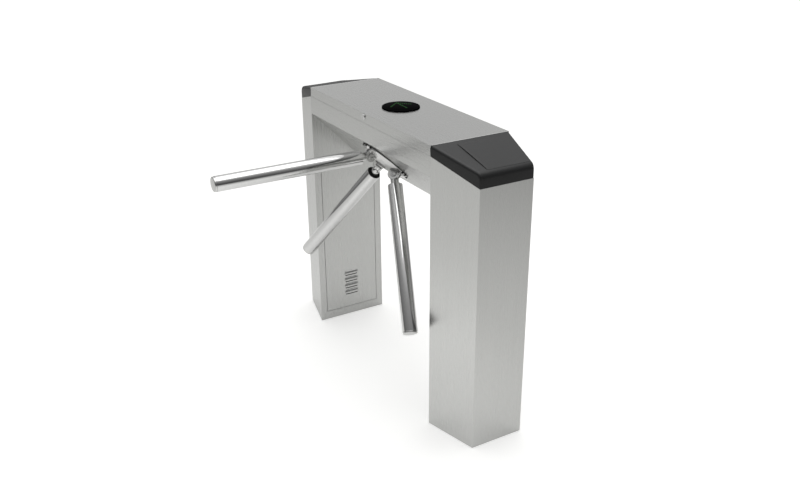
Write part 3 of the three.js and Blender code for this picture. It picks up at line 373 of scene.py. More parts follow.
# Centring spring, in the rotor's frame
SPRING_PLACE = (84.25 * MM, 0, -38 * MM)
SPRING_LOW = -65.7 * MM
SPRING_HIGH = -16.3 * MM
SPRING_RADIUS = 6 * MM
SPRING_WIRE = 0.8 * MM
SPRING_TURNS = 13
SPRING_STEPS = 20
SPRING_SIDES = 8

# Fasteners: each ring's share of the radius and of the height, and its corners
SCREW_RADIUS = 3.2 * MM
SCREW_SHARES = (
    (1, 0, 0), (1, 0.6, 0), (0.85, 1, 0), (0.525, 1, 0), (0.5, 0.95, HEXAGON), (0.5, 0.4, HEXAGON),
)
BOLT_RADIUS = 9.5 * MM
BOLT_HEIGHT = 9 * MM
BOLT_SHARES = ((1, 0.9, HEXAGON), (0.85, 1, 0), (0, 1, 0))
WASHER_RADIUS = 12.5 * MM
WASHER_HEIGHT = 2.25 * MM
WASHER_SHARES = ((1, 0, 0), (1, 0.8, 0), (0.96, 1, 0))
FASTENER_SIDES = 24
FASTENER_GAP = 0.05 * MM
HINGE_SCREWS = 8
HINGE_SCREW_HEIGHT = 1.5 * MM
HINGE_SPAN = 700 * MM
HINGE_FACE = 401.85 * MM
HINGE_ROWS = (("beam", "cabinet", 914 * MM), ("lid", "lid", 940 * MM))
PLATE_TOP = 8.05 * MM
PLATE_INSET = 2.3 * MM
ANCHOR_INSET = 30 * MM
BOX_SCREW_HEIGHT = 1.6 * MM
BOX_SCREW_INSET = 8 * MM


# Outlines, rings and meshes
def rounded(corners, radii, steps=CORNER_STEPS):
    """An outline's points, with an arc of the given radius at each corner that has one."""
    points = []
    for i, corner in enumerate(corners):
        here = Vector(corner)
        if not radii[i]:
            points.append(here)
            continue
        back = (Vector(corners[i - 1]) - here).normalized()
        onward = (Vector(corners[(i + 1) % len(corners)]) - here).normalized()
        half = back.angle(onward) / 2
        middle = here + (back + onward).normalized() * radii[i] / sin(half)
        start = here + back * radii[i] / tan(half) - middle
        end = here + onward * radii[i] / tan(half) - middle
        points += [middle + start.slerp(end, j / steps) * radii[i] for j in range(steps + 1)]
    return points


def rectangle(low, high):
    """A rectangle's corners, from the lowest one to the highest and back."""
    return (low, (high[0], low[1]), high, (low[0], high[1]))


def rounded_rectangle(low, high, radius, steps=CORNER_STEPS):
    return rounded(rectangle(low, high), (radius,) * 4, steps)


def ring(radius, height, sides=SIDES, corners=0):
    """Points round Z at a height, on a circle or on a polygon with that many corners."""
    if radius < WELD_DISTANCE:
        return [(0, 0, height)]
    points = []
    for i in range(sides):
        angle = 2 * pi * i / sides
        reach = radius
        if corners:
            part = angle % (2 * pi / corners) - pi / corners
            reach = radius * cos(pi / corners) / cos(part)
        points.append((reach * cos(angle), reach * sin(angle), height))
    return points


def skin(rings, loop=False):
    """A mesh through rings of points, one after another, with flat ends unless it closes on itself."""
    shape = bmesh.new()
    rows = [[shape.verts.new(point) for point in points] for points in rings]
    count = max(len(row) for row in rows)
    for low, high in zip(rows, rows[1:] + rows[:1] if loop else rows[1:]):
        for i in range(count):
            j = (i + 1) % count
            corners = [low[i % len(low)], low[j % len(low)], high[j % len(high)], high[i % len(high)]]
            shape.faces.new(list(dict.fromkeys(corners)))
    if not loop:
        for row in (rows[0], rows[-1]):
            if len(row) > 2:
                shape.faces.new(row)
    return shape


def strip(shape, first, second):
    """Faces between two rows of a mesh's points."""
    for i in range(len(first) - 1):
        shape.faces.new((first[i], first[i + 1], second[i + 1], second[i]))


def lathe(profile, sides=SIDES, loop=False):
    """A turned mesh from points that each give a radius and a height."""
    return skin([ring(radius, height, sides) for radius, height in profile], loop)


def prism(points, low, high):
    """An upright prism over an outline."""
    return skin([[(x, y, z) for x, y in points] for z in (low, high)])


def moved(shape, place):
    """The mesh after a move or turn."""
    bmesh.ops.transform(shape, matrix=place, verts=shape.verts)
    return shape


def shift(x, y, z):
    return Matrix.Translation((x, y, z))


def turn(angle, axis):
    return Matrix.Rotation(angle, 4, axis)


ALONG_X = turn(RIGHT_ANGLE, "Y")


def merged(*shapes):
    """One mesh that holds all of these, which are used up."""
    whole = bmesh.new()
    for shape in shapes:
        part = bpy.data.meshes.new("part")
        bmesh.ops.recalc_face_normals(shape, faces=shape.faces)
        shape.to_mesh(part)
        shape.free()
        whole.from_mesh(part)
        bpy.data.meshes.remove(part)
    return whole


def as_object(name, shape):
    """An object in the scene with this mesh."""
    bmesh.ops.recalc_face_normals(shape, faces=shape.faces)
    mesh = bpy.data.meshes.new(name)
    shape.to_mesh(mesh)
    shape.free()
    made = bpy.data.objects.new(name, mesh)
    bpy.context.scene.collection.objects.link(made)
    return made


def cast(solid, cutters, voxel, smoothing):
    """One smooth casting from overlapping solids less their cutters, with its edges softened."""
    body = as_object("casting", solid)
    tool = as_object("cutter", cutters)
    joint = body.modifiers.new("cuts", "BOOLEAN")
    joint.object = tool
    joint.operation = "DIFFERENCE"
    joint.solver = "EXACT"
    joint.use_self = True
    grid = body.modifiers.new("grid", "REMESH")
    grid.mode = "VOXEL"
    grid.voxel_size = voxel
    soft = body.modifiers.new("soft", "SMOOTH")
    soft.factor = SMOOTHING_SHARE
    soft.iterations = smoothing
    finished = body.evaluated_get(bpy.context.evaluated_depsgraph_get())
    shape = bmesh.new()
    shape.from_mesh(finished.to_mesh())
    for made in (body, tool):
        bpy.data.objects.remove(made)
    return shape


def add_piece(name, shape, body, slot, place=None, stands_for=()):
    """A piece in place on its body, with its slot and finish, which may stand for CAD nodes."""
    if place:
        moved(shape, place)
    piece = as_object(name, shape)
    piece.data.materials.append(FINISHES[slot])
    piece.data.shade_smooth()
    piece.data.set_sharp_from_angle(angle=SHARP_ANGLE)
    if stands_for:
        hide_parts(*stands_for)
    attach(piece, body)


def soften(node, width, steps=EDGE_STEPS, dissolve=True):
    """Rounds a CAD node's folded and cut edges without touching its mesh."""
    weld = NODES[node].modifiers.new("weld", "WELD")
    weld.merge_threshold = WELD_DISTANCE
    if dissolve:
        flat = NODES[node].modifiers.new("flat", "DECIMATE")
        flat.decimate_type = "DISSOLVE"
        flat.angle_limit = FLAT_ANGLE
    edge = NODES[node].modifiers.new("edge", "BEVEL")
    edge.width = width
    edge.segments = steps
    edge.limit_method = "ANGLE"
    edge.angle_limit = EDGE_ANGLE
    edge.miter_outer = "MITER_SHARP"
    edge.harden_normals = True


# Node helpers for the finishes
def add_node(tree, kind, inputs=(), **attributes):
    """A node with its attributes set, and each input linked to a socket or set to a value."""
    made = tree.nodes.new("ShaderNode" + kind)
    for name, value in attributes.items():
        setattr(made, name, value)
    for name, value in dict(inputs).items():
        if isinstance(value, bpy.types.NodeSocket):
            tree.links.new(value, made.inputs[name])
        else:
            made.inputs[name].default_value = value
    return made


def new_material(name, settings):
    """A material's node tree and its shader, with the shader's own sockets set."""
    material = bpy.data.materials.new(name)
    material.use_nodes = True
    shader = material.node_tree.nodes["Principled BSDF"]
    for socket, value in settings.items():
        shader.inputs[socket].default_value = value
    return material, material.node_tree, shader


def object_noise(tree, scales, detail):
    """Noise in the object's own coordinates, with a scale for each axis in cells per metre."""
    place = add_node(tree, "TexCoord").outputs["Object"]
    stretched = add_node(tree, "Mapping", {"Vector": place, "Scale": scales}).outputs["Vector"]
    noise = add_node(tree, "TexNoise", {"Vector": stretched, "Scale": 1, "Detail": detail})
    return noise.outputs["Fac"]


def spread(tree, value, low, high, start=NOISE_LOW, end=NOISE_HIGH):
    """A value's usual range stretched between two numbers."""
    inputs = {"Value": value, "From Min": start, "From Max": end, "To Min": low, "To Max": high}
    return add_node(tree, "MapRange", inputs).outputs["Result"]


def between(tree, share, dark, light):
    """A colour between two, by a share."""
    mix = add_node(tree, "Mix", {"Factor": share}, data_type="RGBA")
    mix.inputs[MIX_DARK].default_value = (*dark, 1)
    mix.inputs[MIX_LIGHT].default_value = (*light, 1)
    return mix.outputs[MIX_COLOUR]


def add_bump(tree, shader, height, strength, depth):
    bump = add_node(tree, "Bump", {"Height": height, "Strength": strength, "Distance": depth})
    tree.links.new(bump.outputs["Normal"], shader.inputs["Normal"])


def brushed_steel(name, axis):
    """Stainless sheet brushed along one axis: fine scratches, and faint wider streaks of tone."""
    material, tree, shader = new_material(name, BRUSHED)
    lines = [LINE_PITCH] * 3
    streaks = [STREAK_PITCH] * 3
    lines["XYZ".index(axis)] = LINE_RUN
    streaks["XYZ".index(axis)] = STREAK_RUN
    fine = object_noise(tree, lines, LINE_DETAIL)
    wide = object_noise(tree, streaks, STREAK_DETAIL)
    tone = between(tree, spread(tree, wide, 0, 1), BRUSH_DARK, BRUSH_LIGHT)
    tree.links.new(tone, shader.inputs["Base Color"])
    tree.links.new(spread(tree, fine, *BRUSH_ROUGHNESS), shader.inputs["Roughness"])
    tangent = add_node(tree, "Tangent", direction_type="RADIAL", axis=axis)
    tree.links.new(tangent.outputs["Tangent"], shader.inputs["Tangent"])
    add_bump(tree, shader, fine, LINE_STRENGTH, LINE_DEPTH)
    return material


def mottled(name, dark, light, roughness, cells, relief, settings):
    """A finish whose tone and roughness vary a little, with a fine relief of the same grain."""
    material, tree, shader = new_material(name, settings)
    grain = object_noise(tree, [cells] * 3, GRAIN_DETAIL)
    tone = between(tree, spread(tree, grain, 0, 1), dark, light)
    tree.links.new(tone, shader.inputs["Base Color"])
    tree.links.new(spread(tree, grain, *roughness), shader.inputs["Roughness"])
    add_bump(tree, shader, grain, relief, 1 / cells)
    return material


FINISHES = {"brushed_steel": brushed_steel("brushed_steel_upright", "Z")}
for name, values in MOTTLED.items():
    FINISHES[name] = mottled(name, *values)
BEAM_FINISH = brushed_steel("brushed_steel_lengthwise", "X")


# The solids' own finishes and edges
for name, node in NODES.items():
    slot_name = node.material_slots[0].material.name
    node.material_slots[0].material = BEAM_FINISH if name in BEAM_NODES else FINISHES[slot_name]

for name in ("leg_shell_right", "leg_shell_left"):
    soften(name, SHEET_EDGE, SHEET_STEPS)
soften("beam_shell", BEAM_EDGE)
soften("top_lid", BEAM_EDGE, dissolve=False)
for name in ("door_right", "door_left"):
    soften(name, DOOR_EDGE, dissolve=False)
for name in PLATE_NODES:
    soften(name, PLATE_EDGE)


# End caps
def cap_top_z(x):
    return TOP_Z - CAP_TOP_FALL * (x - INNER_X) / LEG_LENGTH


def cap_seam_z(x):
    return SEAM_Z - CAP_SEAM_FALL * (x - INNER_X) / LEG_LENGTH


def half_width(x):
    return HALF_DEPTH - (HALF_DEPTH - END_HALF_WIDTH) * (x - INNER_X) / LEG_LENGTH


def cap_profile(inset):
    """Stations down the cap's middle line: each gives x, z and the inward direction there."""
    slope = atan2(CAP_TOP_FALL, LEG_LENGTH)
    radius = CAP_END_ROUND
    arc_x = OUTER_X - radius
    arc_z = cap_top_z(OUTER_X) - radius * tan((RIGHT_ANGLE - slope) / 2)
    start = INNER_X + inset
    stations = [(start, cap_top_z(start) - inset / cos(slope), slope)]
    for i in range(CAP_ROUND_STEPS + 1):
        lean = slope + (RIGHT_ANGLE - slope) * i / CAP_ROUND_STEPS
        reach = radius - inset
        stations.append((arc_x + reach * sin(lean), arc_z + reach * cos(lean), lean))
    end = OUTER_X - inset
    stations.append((end, cap_seam_z(end), RIGHT_ANGLE))
    return stations


def cap_row(stations, k, inset):
    """The section at one of the stations, from the cap's front side to its back."""
    x, z, lean = stations[k]
    is_seam = k == len(stations) - 1
    share = max(0, k - 1) / (len(stations) - 2)
    radius = max(CAP_SIDE_ROUND + (CAP_CORNER - CAP_SIDE_ROUND) * share - inset, CAP_LEAST_ROUND)
    front, back = [], []
    for i in range(CAP_ROUND_STEPS + 1):
        angle = RIGHT_ANGLE * i / CAP_ROUND_STEPS
        depth = radius * (1 - sin(angle))
        deep_x = x - depth if is_seam else x - depth * sin(lean)
        deep_z = cap_seam_z(deep_x) if is_seam else z - depth * cos(lean)
        side = half_width(deep_x) - inset * SIDE_STRETCH - radius * (1 - cos(angle))
        front.append((deep_x, CENTRE_Y - side, deep_z))
        back.append((deep_x, CENTRE_Y + side, deep_z))
    return front + back[::-1]


def cap_shell(shape, inset):
    """One skin of the cap, open at its seam. Returns the loop of points round the opening."""
    stations = cap_profile(inset)
    rows = []
    for k in range(len(stations)):
        rows.append([shape.verts.new(point) for point in cap_row(stations, k, inset)])
    for upper, lower in zip(rows, rows[1:]):
        strip(shape, upper, lower)
    low_x = INNER_X + inset
    side = half_width(low_x) - inset * SIDE_STRETCH
    feet = [shape.verts.new((low_x, CENTRE_Y + sign * side, cap_seam_z(low_x))) for sign in (-1, 1)]
    for column, foot in ((0, feet[0]), (-1, feet[1])):
        shape.faces.new([row[column] for row in rows] + [foot])
    shape.faces.new([feet[0], *rows[0], feet[1]])
    return [feet[0], *rows[-1], feet[1]]


def lip_loop(inset, rise):
    """The plan of the cap's lip at a height over the seam."""
    low, high = INNER_X + inset, OUTER_X - inset
    return [
        (x, CENTRE_Y + sign * (half_width(x) - inset * SIDE_STRETCH), cap_seam_z(x) + rise)
        for x, sign in ((low, 1), (high, 1), (high, -1), (low, -1))
    ]


def end_cap():
    """A hollow moulded cap with a rounded top edge, and the lip that locates it in the leg."""
    shell = bmesh.new()
    outer = cap_shell(shell, 0)
    inner = cap_shell(shell, CAP_WALL)
    strip(shell, outer + outer[:1], inner + inner[:1])
    thick = LIP_INSET + LIP_WALL
    corners = ((LIP_INSET, -LIP_DEPTH), (LIP_INSET, LIP_RISE), (thick, LIP_RISE), (thick, -LIP_DEPTH))
    return merged(shell, skin([lip_loop(*corner) for corner in corners], loop=True))


def panel_rows():
    """Rows of points over the reader panel's top, from its inner edge to its far side."""
    start, end = INNER_X + PANEL_START, OUTER_X - PANEL_END
    rows = []
    for across_share, rise_share in zip(PANEL_ACROSS_SHARES, PANEL_RISE_SHARES):
        row = []
        for i in range(PANEL_COLUMNS + 1):
            x = start + (end - start) * i / PANEL_COLUMNS
            side = half_width(x) - PANEL_MARGIN
            y = PANEL_SIDE + (side - PANEL_SIDE) * across_share
            fade = sin(pi * i / PANEL_COLUMNS) ** PANEL_FADE
            height = PANEL_GAP + PANEL_EDGE + (PANEL_HEIGHT - PANEL_EDGE) * rise_share * fade
            row.append((x, CENTRE_Y + y, cap_top_z(x) + height))
        rows.append(row)
    return rows


def reader_panel():
    """A panel that stands proud along its inner edge, and runs out flush at its ends and far side."""
    rows = panel_rows()
    shape = bmesh.new()
    top = [[shape.verts.new(point) for point in row] for row in rows]
    bottom = [[shape.verts.new((x, y, cap_top_z(x) + PANEL_GAP)) for x, y, z in row] for row in rows]
    for layer in (top, bottom):
        for near, far in zip(layer, layer[1:]):
            strip(shape, near, far)
    for end in (0, -1):
        strip(shape, top[end], bottom[end])
        strip(shape, [row[end] for row in top], [row[end] for row in bottom])
    return shape


HALF_TURN = shift(0, CENTRE_Y, 0) @ turn(pi, "Z") @ shift(0, -CENTRE_Y, 0)
END_PLACES = (("right", Matrix()), ("left", HALF_TURN))
END_SIGNS = (("right", 1), ("left", -1))
for side, place in END_PLACES:
    cap, cover = f"end_cap_{side}", f"reader_cover_{side}"
    add_piece(f"moulded_cap_{side}", end_cap(), "cabinet", "black_plastic", place, [cap])
    add_piece(f"reader_panel_{side}", reader_panel(), "cabinet", "black_plastic", place, [cover])


# Louvres, each in a frame whose X points out of the door
def hood_arc(reach, rise):
    leans = [RIGHT_ANGLE * i / HOOD_STEPS for i in range(HOOD_STEPS + 1)]
    return [(reach * sin(lean), rise * cos(lean)) for lean in leans]


def louvre_hood():
    """A pressed hood, open below, that runs out into the door at its ends."""
    inner = hood_arc(HOOD_REACH - HOOD_WALL, HOOD_RISE - HOOD_WALL)
    section = hood_arc(HOOD_REACH, HOOD_RISE) + inner[::-1]
    rings = []
    for i in range(HOOD_STATIONS + 1):
        along_share = -cos(pi * i / HOOD_STATIONS)
        share = max(HOOD_LEAST_SHARE, sqrt(1 - abs(along_share) ** HOOD_SQUARENESS))
        rings.append([(share * x, along_share * HOOD_HALF, share * z) for x, z in section])
    return skin(rings)


def painted_hood_shade():
    """A black strip on the door below a hood: painted shade where the hood's shadow falls."""
    plan = rounded_rectangle((-HOOD_SHADE_HALF, HOOD_SHADE_LOW), (HOOD_SHADE_HALF, HOOD_SHADE_HIGH), HOOD_SHADE_ROUND)
    return skin([[(x, y, z) for y, z in plan] for x in (-HOOD_SUNK, HOOD_SHADE_PROUD)])


def louvre_row(shape):
    """One of these shapes at each louvre of the right door."""
    row = []
    for i in range(LOUVRE_COUNT):
        low = LOUVRE_LOWEST + i * LOUVRE_SPACING
        row.append(moved(shape(), shift(INNER_X + HOOD_SUNK, CENTRE_Y, low) @ turn(pi, "Z")))
    return merged(*row)


for side, place in END_PLACES:
    door = f"{side}_door"
    add_piece(f"louvre_hoods_{side}", louvre_row(louvre_hood), door, "brushed_steel", place)
    # A black strip under each hood: painted shade on the door below it
    add_piece(f"louvre_painted_shade_{side}", louvre_row(painted_hood_shade), door, "black_rubber", place)


# Display
def display_ring():
    """The ring in the lid, with a flange over the lid and a ledge under the window."""
    ledge = BEZEL_INNER - BEZEL_LEDGE
    corners = (
        (ledge, -BEZEL_DEPTH),
        (DISPLAY_TUBE, -BEZEL_DEPTH),
        (DISPLAY_TUBE, BEZEL_SEAT),
        (BEZEL_FLANGE, BEZEL_SEAT),
        (BEZEL_FLANGE, BEZEL_TOP),
        (BEZEL_INNER, BEZEL_TOP),
        (BEZEL_INNER, -BEZEL_LEDGE),
        (ledge, -BEZEL_LEDGE),
    )
    return lathe(rounded(corners, BEZEL_ROUNDS), FINE_SIDES, loop=True)


def display_lens():
    corners = rectangle((0, LENS_BOTTOM), (LENS_RADIUS, LENS_TOP))
    return lathe(rounded(corners, LENS_ROUNDS), FINE_SIDES)


def light_dots():
    """The places of the lit dots, which make an arrow: its tip, then along each of its lines."""
    places = [ARROW_TIP]
    for end in (ARROW_TAIL, *ARROW_BARBS):
        line = end - ARROW_TIP
        count = round(line.length / LIGHT_SPACING)
        places += [ARROW_TIP + line * i / count for i in range(1, count + 1)]
    return places


def light_arrow():
    profile = (
        (0, -LIGHT_SUNK),
        (LIGHT_RADIUS, -LIGHT_SUNK),
        (LIGHT_RADIUS, 0),
        (LIGHT_RADIUS / 2, LIGHT_RISE),
        (0, LIGHT_RISE),
    )
    return merged(*(moved(lathe(profile, LIGHT_SIDES), shift(*place, 0)) for place in light_dots()))


DISPLAY_PLACE = shift(0, CENTRE_Y, TOP_Z)
LIGHT_PLACE = shift(0, CENTRE_Y, TOP_Z + LENS_TOP)
add_piece("display_ring", display_ring(), "lid", "gloss_black", DISPLAY_PLACE, ["display_bezel"])
add_piece("display_window", display_lens(), "lid", "dark_glass", DISPLAY_PLACE, ["display_lens"])
add_piece("display_lights", light_arrow(), "lid", "green_light", LIGHT_PLACE)


def chip(width, depth, height):
    """A chip or connector: a low block with rounded corners and a smaller top."""
    plan = rounded_rectangle((-width / 2, -depth / 2), (width / 2, depth / 2), CHIP_CORNER, CHIP_STEPS)
    levels = ((1, 0), (1, height - CHIP_CORNER), (1 - CHIP_CORNER / depth, height))
    return skin([[(x * share, y * share, z) for x, y in plan] for share, z in levels])


BOARD_LOW = Vector(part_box("display_board")[0])
UNDER_BOARD = shift(0, CENTRE_Y, BOARD_LOW.z - BOARD_GAP) @ turn(pi, "X")
for name, blocks, slot_name in (
    ("board_chips", BOARD_CHIPS, "black_plastic"),
    ("board_connectors", BOARD_PLUGS, "grey_plastic"),
):
    chips = [moved(chip(*size), shift(x, y, 0)) for x, y, *size in blocks]
    add_piece(name, merged(*chips), "lid", slot_name, UNDER_BOARD)


# Rotor's frame and the arms' frames
ROTOR_X = Vector((1, 0, 0))
ROTOR = Matrix.Translation(APEX) @ Matrix((ROTOR_X, AXIS.cross(ROTOR_X), AXIS)).transposed().to_4x4()
PIVOT = shift(0, PIVOT_RADIUS, PIVOT_RADIUS)
ARM = PIVOT @ turn(-ARM_LEAN, "X")


def bell_top(radius):
    return HUB_TOP - (HUB_TOP - HUB_RIM_TOP) * (radius / HUB_RADIUS) ** 2


def hub_bell():
    profile = [
        (0, HUB_NECK_BACK),
        (HUB_NECK_RADIUS, HUB_NECK_BACK),
        (HUB_NECK_RADIUS, HUB_BACK),
        (HUB_RADIUS, HUB_BACK),
    ]
    for i in range(BELL_STEPS, 0, -1):
        radius = HUB_RADIUS * i / BELL_STEPS
        profile.append((radius, bell_top(radius)))
    profile.append((0, bell_top(HUB_CAP_RADIUS)))
    return lathe(profile, FINE_SIDES)


def hub_lug(side):
    """One of the two walls that hold an arm's pin, standing on the bell."""
    foot = [
        (PIVOT_RADIUS + LUG_RADIUS + LUG_SPREAD, LUG_FOOT),
        (PIVOT_RADIUS + LUG_RADIUS, LUG_FOOT + LUG_SPREAD),
    ]
    crown = [
        (PIVOT_RADIUS + LUG_RADIUS * cos(pi * i / SIDES), PIVOT_RADIUS + LUG_RADIUS * sin(pi * i / SIDES))
        for i in range(SIDES + 1)
    ]
    tail = [
        (PIVOT_RADIUS - LUG_RADIUS, LUG_FOOT + LUG_SPREAD),
        (PIVOT_RADIUS - LUG_RADIUS - LUG_SPREAD, LUG_FOOT),
    ]
    inner, outer = sorted((side * LUG_INNER, side * LUG_OUTER))
    wall = [[(x, y, z) for y, z in foot + crown + tail] for x in (inner, outer)]
    return skin(wall)


def rod_along_x(radius, low, high):
    return moved(lathe(rectangle((0, low), (radius, high))), ALONG_X)


def pocket():
    """The space for an arm's eye and for its neck, from level to dropped."""
    far = 2 * HUB_RADIUS
    radius = POCKET_NECK_RADIUS
    level = Vector((cos(ARM_LEAN), sin(ARM_LEAN)))
    dropped = Vector((-sin(ARM_LEAN), cos(ARM_LEAN)))
    middle = Vector((PIVOT_RADIUS, PIVOT_RADIUS))
    corners = (
        middle - level * radius + dropped * far,
        middle - level * radius,
        middle - dropped * radius,
        middle + level * far - dropped * radius,
    )
    valley = skin([[(x, *corner) for corner in corners] for x in (-LUG_INNER, LUG_INNER)])
    eye = moved(rod_along_x(POCKET_EYE_RADIUS, -LUG_INNER, LUG_INNER), PIVOT)
    return valley, eye


def hub_casting():
    """The bell with its lugs, less the shaft's bore and each arm's pocket and pin."""
    solids = [hub_bell()]
    cutters = [lathe(rectangle((0, 0), (HUB_BORE, HUB_TOP - HUB_ROOF)))]
    for i in range(ARM_COUNT):
        sector = turn(i * THIRD, "Z")
        cutters += [moved(shape, sector) for shape in pocket()]
        for side in (-1, 1):
            solids.append(moved(hub_lug(side), sector))
            low, high = sorted((side * (PIN_GRIP - SPOT_SUNK), side * (PIN_GRIP + SPOT_DEPTH)))
            cutters.append(moved(rod_along_x(SPOT_RADIUS, low, high), sector @ PIVOT))
        bore = rod_along_x(PIN_RADIUS + PIN_GAP, -PIN_GRIP, PIN_GRIP)
        cutters.append(moved(bore, sector @ PIVOT))
    return cast(merged(*solids), merged(*cutters), HUB_VOXEL, HUB_SMOOTHINGS)


def hub_cover():
    low = bell_top(HUB_CAP_RADIUS) + HUB_CAP_GAP
    return lathe(rounded(rectangle((0, low), (HUB_CAP_RADIUS, low + HUB_CAP_HEIGHT)), HUB_CAP_ROUNDS))


add_piece("hub_casting", hub_casting(), "rotor", "cast_steel", ROTOR, ["hub"])
add_piece("hub_cover", hub_cover(), "rotor", "cast_steel", ROTOR, ["hub_cap"])


# Arms
def knuckle():
    """The casting at an arm's root: the eye on the pin, the neck and the spigot in the tube."""
    eye = rod_along_x(EYE_RADIUS, -EYE_HALF, EYE_HALF)
    stem = lathe((
        (0, 0),
        (NECK_RADIUS, 0),
        (NECK_RADIUS, SPIGOT_START),
        (SPIGOT_RADIUS, SPIGOT_START),
        (SPIGOT_RADIUS, SPIGOT_END),
        (0, SPIGOT_END),
    ))
    far = 2 * EYE_RADIUS
    reach = EYE_RADIUS + CHEEK_MARGIN
    cheek = rectangle((-reach, -reach), (reach, CHEEK_END))
    cutters = [rod_along_x(PIN_RADIUS + PIN_GAP, -far, far)]
    for side in (-1, 1):
        low, high = sorted((side * EYE_HALF, side * far))
        cutters.append(skin([[(x, y, z) for y, z in cheek] for x in (low, high)]))
    return cast(merged(eye, stem), merged(*cutters), KNUCKLE_VOXEL, KNUCKLE_SMOOTHINGS)


def seal():
    corners = rectangle((SEAL_BORE, SEAL_START), (SPIGOT_RADIUS, SEAL_END))
    return lathe(rounded(corners, SEAL_ROUNDS), FINE_SIDES, loop=True)


def tube():
    corners = rectangle((TUBE_RADIUS - TUBE_WALL, TUBE_START), (TUBE_RADIUS, TUBE_END))
    return lathe(rounded(corners, TUBE_ROUNDS, TUBE_STEPS), FINE_SIDES, loop=True)


def plug():
    corners = (
        (0, PLUG_START),
        (SPIGOT_RADIUS, PLUG_START),
        (SPIGOT_RADIUS, PLUG_HEAD),
        (PLUG_RADIUS, PLUG_HEAD),
        (PLUG_RADIUS, PLUG_END - PLUG_DOME),
        (0, PLUG_END),
    )
    return lathe(rounded(corners, PLUG_ROUNDS), FINE_SIDES)


def pivot_pin():
    """The pin through the lugs and the eye, with a low head and a hexagon socket at each end."""
    edge = PIN_GRIP + PIN_HEAD_HEIGHT
    profile = (
        (PIN_RADIUS, 0, 0),
        (PIN_RADIUS, PIN_GRIP, 0),
        (PIN_HEAD_RADIUS, PIN_GRIP, 0),
        (PIN_HEAD_RADIUS, edge - PIN_EDGE_HEIGHT, 0),
        (PIN_HEAD_RADIUS - PIN_EDGE_MIDDLE, edge - PIN_EDGE_MIDDLE, 0),
        (PIN_HEAD_RADIUS - PIN_EDGE_WIDTH, edge, 0),
        (PIN_SOCKET_MOUTH, edge, 0),
        (PIN_SOCKET_RADIUS, edge - PIN_SOCKET_LEAD, HEXAGON),
        (PIN_SOCKET_RADIUS, edge - PIN_SOCKET_DEPTH, HEXAGON),
        (0, edge - PIN_SOCKET_TIP, 0),
    )
    half = [ring(radius, height, SIDES, corners) for radius, height, corners in profile]
    mirrored = [[(x, y, -z) for x, y, z in points] for points in half[:0:-1]]
    return moved(skin(mirrored + half), ALONG_X)


for i in range(ARM_COUNT):
    number = i + 1
    arm_body = "top_arm" if i == 0 else "rotor"
    sector = ROTOR @ turn(i * THIRD, "Z")
    arm_place = sector @ ARM
    for name, node, shape, body, slot_name, place in (
        ("knuckle", "arm_knuckle", knuckle(), arm_body, "cast_steel", arm_place),
        ("seal", "arm_seal", seal(), arm_body, "black_rubber", arm_place),
        ("tube", "arm_tube", tube(), arm_body, "polished_steel", arm_place),
        ("plug", "arm_plug", plug(), arm_body, "cast_steel", arm_place),
        ("pin", "pivot_pin", pivot_pin(), "rotor", "cast_steel", sector @ PIVOT),
    ):
        add_piece(f"turned_{name}_{number}", shape, body, slot_name, place, [f"{node}_{number}"])


# Black pads on the bell's rim, three to each arm, reaching back into the gap behind it
def rim_pads():
    plan = rounded_rectangle((PAD_LOW, -PAD_WIDTH / 2), (PAD_HIGH, PAD_WIDTH / 2), PAD_ROUND, PAD_STEPS)
    turns = [turn(RIGHT_ANGLE + angle, "Z") for angle in PAD_ANGLES]
    return merged(*(moved(prism(plan, PAD_BACK, PAD_FRONT), place) for place in turns))


for i in range(ARM_COUNT):
    add_piece(f"rim_pads_{i + 1}", rim_pads(), "rotor", "black_rubber", ROTOR @ turn(i * THIRD, "Z"))


# Lid lock, in a frame whose Z points out of the lid's front skirt
def lock_barrel():
    corners = (
        (LOCK_BORE, -LOCK_LENGTH),
        (LOCK_BODY_RADIUS, -LOCK_LENGTH),
        (LOCK_BODY_RADIUS, LOCK_SEAT),
        (LOCK_HEAD_RADIUS, LOCK_SEAT),
        (LOCK_HEAD_RADIUS, LOCK_HEAD_HEIGHT - LOCK_HEAD_BEVEL),
        (LOCK_HEAD_RADIUS - LOCK_HEAD_BEVEL, LOCK_HEAD_HEIGHT),
        (LOCK_BORE, LOCK_HEAD_HEIGHT),
    )
    return lathe(rounded(corners, LOCK_BODY_ROUNDS), loop=True)


def lock_core():
    corners = rectangle((0, LOCK_CORE_LOW), (LOCK_CORE_RADIUS, LOCK_CORE_HIGH))
    return lathe(rounded(corners, LOCK_CORE_ROUNDS))


def key_slot():
    high = (KEY_SLOT_HALF_WIDTH, KEY_SLOT_HALF_LENGTH)
    low = (-KEY_SLOT_HALF_WIDTH, -KEY_SLOT_HALF_LENGTH)
    plan = rounded_rectangle(low, high, KEY_SLOT_ROUND, KEY_SLOT_STEPS)
    return prism(plan, LOCK_CORE_HIGH - KEY_SLOT_RISE, LOCK_CORE_HIGH + KEY_SLOT_RISE)


LOCK_PIVOT = Vector(JOINTS["lid_lock_turn"]["pos_m"])
LOCK = shift(LOCK_PIVOT.x, LEG_LOW.y, LOCK_PIVOT.z) @ turn(RIGHT_ANGLE, "X")
add_piece("lock_barrel", lock_barrel(), "lid", "polished_steel", LOCK, ["lid_lock_body"])
add_piece("lock_core", lock_core(), "lid_lock", "polished_steel", LOCK)
add_piece("key_slot", key_slot(), "lid_lock", "black_plastic", LOCK)


# Hemmed ends of the lid's top
def lid_hem(sign):
    """A low rounded ridge across one end of the lid."""
    ends = (LID_LOW.y + HEM_WIDTH, LID_HIGH.y - HEM_WIDTH)
    outer = LID_HIGH.x - HEM_INSET
    section = [(outer - HEM_WIDTH, -HEM_SUNK), (outer, -HEM_SUNK)]
    for i in range(HEM_STEPS + 1):
        share = i / HEM_STEPS
        section.append((outer - HEM_WIDTH * share, HEM_RISE * 4 * share * (1 - share)))
    return skin([[(sign * x, y, TOP_Z + z) for x, z in section] for y in ends])


